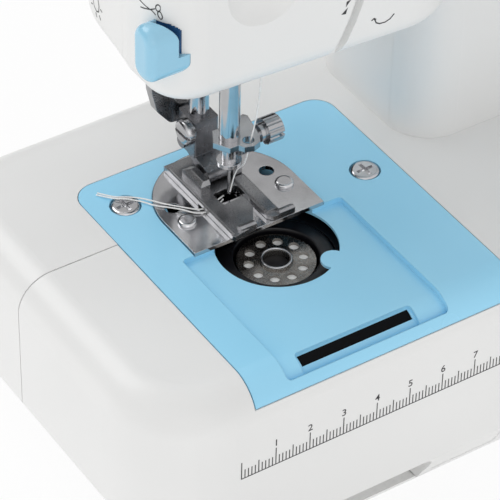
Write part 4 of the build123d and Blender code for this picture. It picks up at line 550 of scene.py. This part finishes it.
# ---------------------------------------------------------------- printed ruler
class SEWING_OT_ruler(bpy.types.Operator):
    """Centimetre ruler printed along the front of the drawer and the base"""

    bl_idname = "sewing.ruler"
    bl_label = "Ruler"

    def execute(self, context):
        user = context.scene.sewing_ruler
        ink = printing_ink(context.scene.sewing_finish.ink)
        zero = DRAWER_LOW.x + user.start
        wall = BASE_LOW.y
        seam = DRAWER_HIGH.x
        for name, body, low, high in (("ruler_drawer", "drawer", zero, seam - 0.2 * MM),
                                      ("ruler_base", "machine", seam + 0.3 * MM,
                                       zero + user.count * 10 * MM + user.line)):
            parts = [self.bar(low - user.line / 2 if low == zero else low, high, user.height,
                              user.height + user.line, wall)]
            for mark in range(user.count * 10 + 1):
                place = zero + mark * MM
                if not low - user.line <= place - user.line / 2 or place + user.line / 2 > high:
                    continue
                tall = user.tall if mark % 10 == 0 else user.half if mark % 5 == 0 else user.short
                parts.append(self.bar(place - user.line / 2, place + user.line / 2,
                                      user.height + user.line, user.height + tall, wall))
                if mark and mark % 10 == 0:
                    parts.append(self.numeral(str(mark // 10), place, user.height + tall + 0.7 * MM,
                                              user.numeral, wall))
            piece = join(parts, name)
            use_material(piece, ink)
            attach(piece, body)
        return {"FINISHED"}

    def bar(self, left, right, low, high, wall):
        """One printed line as a film on the wall."""
        clear_selection()
        bpy.ops.mesh.primitive_plane_add(size=1, rotation=(radians(90), 0, 0),
                                         location=((left + right) / 2, wall - PRINT_LIFT, (low + high) / 2))
        piece = bpy.context.object
        piece.scale = (right - left, high - low, 1)
        settle(piece)
        return piece

    def numeral(self, text, place, low, height, wall):
        """One printed numeral, centred over its mark."""
        clear_selection()
        bpy.ops.object.text_add(location=(place, wall - PRINT_LIFT, low), rotation=(radians(90), 0, 0))
        piece = bpy.context.object
        piece.data.body = text
        piece.data.size = height / 0.7
        piece.data.align_x = "CENTER"
        piece.data.offset = 0.03 * MM
        bpy.ops.object.convert(target="MESH")
        piece = bpy.context.object
        settle(piece)
        return piece


def printing_ink(code):
    """Pad-printed ink: thin, flat and matt."""
    if "pad_printing_ink" in bpy.data.materials:
        return bpy.data.materials["pad_printing_ink"]
    material, tree, shader, place = blank_material("pad_printing_ink")
    blend_colour(tree, shader, place, code, "4A4A4C", 1.5)
    grain(tree, shader, place, 0.3, 0.003)
    shader.inputs["Roughness"].default_value = 0.6
    return material


# ---------------------------------------------------------------- threads
class SEWING_OT_threads(bpy.types.Operator):
    """Needle thread and the two ends that lie to the left of the presser foot"""

    bl_idname = "sewing.threads"
    bl_label = "Threads"

    def execute(self, context):
        origin = Vector((BOBBIN.x, BOBBIN.y, DECK))
        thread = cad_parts["bobbin_thread"].material_slots[0].material
        for name, node, body, far_end, lay, length, route in (
                ("needle_thread_strand", "needle_thread", "needle_slide", "object", "taut", 59.85, (
                    (4.5, 14.0, 60.8), (4.5, 15.3, 42.0), (4.6, 16.8, 27.5), (2.4, 17.0, 18.0),
                    (1.7, 17.7, 11.8), (0.8, 19.8, 9.4), (-0.2, 20.2, 6.4), (-1.2, 20.0, 2.4))),
                ("tail_strand_a", "thread_tail_a", "machine", "bare", "loose", 36.14, (
                    (-2.6, 20.9, 1.1), (-4.9, 20.3, 1.05), (-7.7, 19.4, 1.0), (-10.6, 19.1, 1.0),
                    (-14.0, 22.4, 1.2), (-17.0, 25.6, 1.2), (-18.8, 28.5, 1.0), (-21.0, 32.0, 0.6),
                    (-24.0, 33.8, 1.0), (-26.6, 35.4, 0.8), (-29.0, 39.7, 0.3))),
                ("tail_strand_b", "thread_tail_b", "machine", "bare", "loose", 36.77, (
                    (-3.4, 19.8, 1.0), (-5.4, 18.7, 1.05), (-8.0, 17.9, 1.0), (-10.6, 17.8, 1.0),
                    (-12.7, 19.1, 1.0), (-14.6, 21.4, 1.4), (-17.3, 24.8, 1.0), (-19.5, 26.9, 0.9),
                    (-20.8, 30.0, 0.5), (-22.2, 31.7, 0.5), (-24.9, 33.3, 1.2), (-27.0, 34.8, 0.9),
                    (-29.6, 39.2, 0.3)))):
            piece = self.strand(name, [origin + Vector(point) * MM for point in route])
            piece.data.materials.append(thread)
            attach(piece, body)
            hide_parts(node)
        return {"FINISHED"}

    def strand(self, name, points):
        """One smooth thread along its route."""
        clear_selection()
        curve = bpy.data.curves.new(name, "CURVE")
        curve.dimensions = "3D"
        spline = curve.splines.new("NURBS")
        spline.points.add(len(points) - 1)
        for point, place in zip(spline.points, points):
            point.co = (*place, 1)
        spline.order_u = 3
        spline.use_endpoint_u = True
        curve.bevel_depth = THREAD_DIAMETER / 2
        curve.bevel_resolution = 3
        curve.resolution_u = 12
        curve.use_fill_caps = True
        piece = bpy.data.objects.new(name, curve)
        bpy.context.scene.collection.objects.link(piece)
        return piece


# ---------------------------------------------------------------- symbols, dark pieces of painted shade and small metal
class SEWING_OT_symbols(bpy.types.Operator):
    """Printed scissors, lamp and arrows on the head"""

    bl_idname = "sewing.symbols"
    bl_label = "Symbols"

    def execute(self, context):
        width = context.scene.sewing_ruler.stroke
        ink = printing_ink(context.scene.sewing_finish.ink)
        left = HEAD_LOW.x - BOBBIN.x
        side_marks = {
            # two crossed blades and two finger loops
            "scissors": (((14.9, 77.4), (9.7, 76.9), (8.4, 76.2)), ((14.0, 75.6), (10.4, 76.9), (8.7, 77.8)),
                         self.loop(7.6, 78.4, 0.75, 0.95, 20), self.loop(6.9, 76.5, 0.75, 1.1, -30)),
            # lamp bulb with its rays
            "lamp": (((42.3, 61.2), (41.4, 58.8), (39.4, 57.9), (38.0, 58.6), (37.7, 60.4), (38.4, 62.4)),
                     ((43.6, 57.9), (42.6, 58.2)), ((39.9, 57.2), (39.3, 56.3)), ((37.6, 57.7), (36.9, 56.9)),
                     ((36.9, 60.0), (36.0, 59.8)))}
        for name, housing in (("scissors", "front_housing"), ("lamp", "rear_housing")):
            parts = [part for line in side_marks[name] for part in
                     self.line([(left / MM, y, z) for y, z in line], width, Vector((-1, 0, 0)))]
            self.print_on(parts, name, housing, ink)
        parts = []
        # curved arrow and its head
        for line in (((26.0, 59.6), (26.3, 59.2), (26.7, 58.2), (27.7, 57.6), (29.3, 57.5),
                      (30.7, 58.0), (31.8, 59.1)),
                     ((25.4, 59.3), (26.0, 59.7), (26.6, 59.3))):
            parts += self.line([(x, SYMBOL_FRONT, z) for x, z in line], width, Vector((0, -1, 0)))
        # two arrowheads above it
        for triangle in (((16.5, 64.1), (18.3, 65.7), (17.8, 63.9)),
                         ((17.7, 65.9), (19.2, 67.8), (17.9, 67.5))):
            parts.append(film([self.at((x, SYMBOL_FRONT, z)) for x, z in triangle]))
        self.print_on(parts, "arrows", "front_housing", ink)
        return {"FINISHED"}

    def at(self, point):
        """Model place of a point given in millimetres from the bobbin centre at the work surface."""
        return Vector((BOBBIN.x, BOBBIN.y, DECK)) + Vector(point) * MM

    def loop(self, y, z, wide, tall, lean):
        """Points of a slanting oval, closed."""
        turn = radians(lean)
        return tuple((y + wide * cos(a) * cos(turn) - tall * sin(a) * sin(turn),
                      z + wide * cos(a) * sin(turn) + tall * sin(a) * cos(turn))
                     for a in (k * pi / 8 for k in range(17)))

    def line(self, points, width, outward):
        """Printed line of the given width through the points, as short films."""
        ends = [self.at(point) for point in points]
        places = ends[:1]
        for a, b in zip(ends, ends[1:]):
            steps = int((b - a).length / MM) + 1
            places += [a.lerp(b, step / steps) for step in range(1, steps + 1)]
        made = []
        for a, b in zip(places, places[1:]):
            along = (b - a).normalized()
            across = along.cross(outward) * width / 2
            reach = along * width * 0.3
            made.append(film([a - across - reach, b - across + reach,
                              b + across + reach, a + across - reach]))
        return made

    def print_on(self, parts, name, node, ink):
        """Joins the films and lays them on the housing."""
        piece = join(parts, name)
        apply_modifier(piece, "SHRINKWRAP", target=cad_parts[node], offset=SYMBOL_LIFT,
                       wrap_mode="ABOVE_SURFACE")
        use_material(piece, ink)
        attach(piece, "machine")


def film(points):
    """Thin flat patch with the given corners."""
    clear_selection()
    bpy.ops.mesh.primitive_circle_add(vertices=len(points), radius=0.01, fill_type="NGON")
    piece = bpy.context.object
    bpy.ops.object.mode_set(mode="EDIT")
    shape = bmesh.from_edit_mesh(piece.data)
    for vert, place in zip(shape.verts, points):
        vert.co = place
    bmesh.update_edit_mesh(piece.data)
    leave_edit()
    return piece


class SEWING_OT_shade_pieces(bpy.types.Operator):
    """Dark pieces that paint the shade under the latch slot and in the slit of the thread cutter"""

    bl_idname = "sewing.liners"
    bl_label = "Shade pieces"

    def execute(self, context):
        origin = Vector((BOBBIN.x, BOBBIN.y, DECK))
        clear_selection()
        # painted shade: a matt black block under the latch slot stands in for the shadow inside the slot
        bpy.ops.mesh.primitive_cube_add(size=1, location=origin + Vector((-1.8, -37.7, -3.7)) * MM)
        slot = named("slot_painted_shade")
        slot.scale = (32.7 * MM, 2.5 * MM, 0.6 * MM)
        settle(slot)
        pick(slot, lambda place: place.y > origin.y - 37.7 * MM, "VERT")
        bpy.ops.transform.translate(value=(0, 0, 0.7 * MM))
        bpy.ops.mesh.select_all(action="INVERT")
        bpy.ops.transform.translate(value=(0, 0, -0.7 * MM))
        bpy.ops.mesh.select_all(action="SELECT")
        bpy.ops.mesh.bevel(offset=0.1 * MM, segments=2, affect="EDGES")
        leave_edit()
        tidy_mesh(slot)
        use_material(slot, moulded_plastic("painted_shade_black_matt", "040406", "060608", 0.8, ior=1.25))
        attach(slot, "machine")

        # painted shade: a deep blue film laid on the housing inside the cutter's slit stands in for the
        # shadow in the slit
        clear_selection()
        bpy.ops.mesh.primitive_grid_add(x_subdivisions=24, y_subdivisions=24, size=1,
                                        rotation=(radians(90), 0, radians(-45)),
                                        location=origin + Vector((-30.0, 5.4, 70.7)) * MM)
        slit_shade = named("cutter_slit_shade")
        slit_shade.scale = (8.4 * MM, 8.2 * MM, 1)
        settle(slit_shade)
        apply_modifier(slit_shade, "SHRINKWRAP", target=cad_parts["front_housing"], offset=0.1 * MM,
                       wrap_mode="ABOVE_SURFACE")
        # follows the round of the pad's upper corner
        corner = origin + Vector((0, 6.6, 71.2)) * MM
        pick(slit_shade, lambda place, normal: place.y < corner.y and place.z > corner.z
             and (place - corner).yz.length > 3.7 * MM)
        bpy.ops.mesh.delete(type="FACE")
        leave_edit()
        tidy_mesh(slit_shade)
        use_material(slit_shade, moulded_plastic("painted_shade_deep_blue_gloss", "1C3F66", "2A5A8C", 0.2, patch_mm=6))
        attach(slit_shade, "machine")
        return {"FINISHED"}


class SEWING_OT_bobbin_lip(bpy.types.Operator):
    """Rolled lip round the bore of the bobbin"""

    bl_idname = "sewing.bobbin_lip"
    bl_label = "Bobbin lip"

    def execute(self, context):
        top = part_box("bobbin")[1].z
        clear_selection()
        ring, round_off, above = 3.85 * MM, 0.42 * MM, 0.05 * MM
        bpy.ops.mesh.primitive_torus_add(major_segments=48, minor_segments=12, major_radius=ring,
                                         minor_radius=round_off,
                                         location=(BOBBIN.x, BOBBIN.y, top + above))
        lip = named("bobbin_lip")
        settle(lip)
        pick(lip, lambda place: place.z < top, "VERT")
        bpy.ops.transform.resize(value=(1, 1, 0.2), center_override=(BOBBIN.x, BOBBIN.y, top))
        leave_edit()
        tidy_mesh(lip, 60)
        use_material(lip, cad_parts["needle_clamp"].material_slots[0].material)
        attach(lip, "bobbin_set")
        return {"FINISHED"}


class SEWING_OT_spring(bpy.types.Operator):
    """Coil spring over the presser bar, built at one length; the real one shortens as the bar rises"""

    bl_idname = "sewing.spring"
    bl_label = "Presser spring"

    def execute(self, context):
        low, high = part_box("presser_spring")
        wire, turns, lift = 0.6 * MM, 9, 4.5 * MM
        reach = (high.x - low.x) / 2 - wire
        rise = high.z - low.z - 2 * wire
        clear_selection()
        bpy.ops.mesh.primitive_circle_add(vertices=12, radius=wire, location=(reach, 0, 0),
                                          rotation=(radians(90), 0, 0))
        coil = named("presser_spring_coil")
        settle(coil)
        apply_modifier(coil, "SCREW", angle=2 * pi, steps=32, screw_offset=rise / turns, iterations=turns)
        coil.location = ((low.x + high.x) / 2, (low.y + high.y) / 2, low.z + wire)
        settle(coil)
        bpy.ops.object.mode_set(mode="EDIT")
        bpy.ops.mesh.select_all(action="SELECT")
        bpy.ops.mesh.remove_doubles(threshold=WELD)
        bpy.ops.mesh.select_all(action="DESELECT")
        bpy.ops.mesh.select_mode(type="EDGE")
        bpy.ops.mesh.select_non_manifold()
        bpy.ops.mesh.edge_face_add()
        leave_edit()
        tidy_mesh(coil, 50)
        use_material(coil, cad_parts["presser_spring"].material_slots[0].material)
        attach(coil, "machine")
        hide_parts("presser_spring")
        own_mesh(coil)
        return {"FINISHED"}


class SEWING_PT_panel(bpy.types.Panel):
    """Lists the pieces and their sizes"""

    bl_idname = "SEWING_PT_panel"
    bl_label = "Sewing machine"
    bl_space_type = "VIEW_3D"
    bl_region_type = "UI"
    bl_category = "Sewing"

    def draw(self, context):
        for group in GROUPS:
            settings = getattr(context.scene, group)
            box = self.layout.box()
            for key in settings.__annotations__:
                box.prop(settings, key)
        for operator in OPERATORS:
            self.layout.operator(operator.bl_idname)


GROUPS = {"sewing_finish": SEWING_PG_finish, "sewing_ruler": SEWING_PG_ruler,
          "sewing_stage": SEWING_PG_stage}
OPERATORS = (SEWING_OT_stage, SEWING_OT_finishes, SEWING_OT_threads, SEWING_OT_ruler, SEWING_OT_symbols,
             SEWING_OT_shade_pieces, SEWING_OT_bobbin_lip, SEWING_OT_spring)


def register():
    for group, kind in GROUPS.items():
        bpy.utils.register_class(kind)
        setattr(bpy.types.Scene, group, bpy.props.PointerProperty(type=kind))
    for kind in (*OPERATORS, SEWING_PT_panel):
        bpy.utils.register_class(kind)


def unregister():
    for kind in (SEWING_PT_panel, *reversed(OPERATORS)):
        bpy.utils.unregister_class(kind)
    for group, kind in GROUPS.items():
        delattr(bpy.types.Scene, group)
        bpy.utils.unregister_class(kind)


def main():
    """Builds everything."""
    register()
    bpy.ops.sewing.stage()
    bpy.ops.sewing.finishes()
    bpy.ops.sewing.threads()
    bpy.ops.sewing.ruler()
    bpy.ops.sewing.symbols()
    bpy.ops.sewing.liners()
    bpy.ops.sewing.bobbin_lip()
    bpy.ops.sewing.spring()


if __name__ == "__main__":
    main()
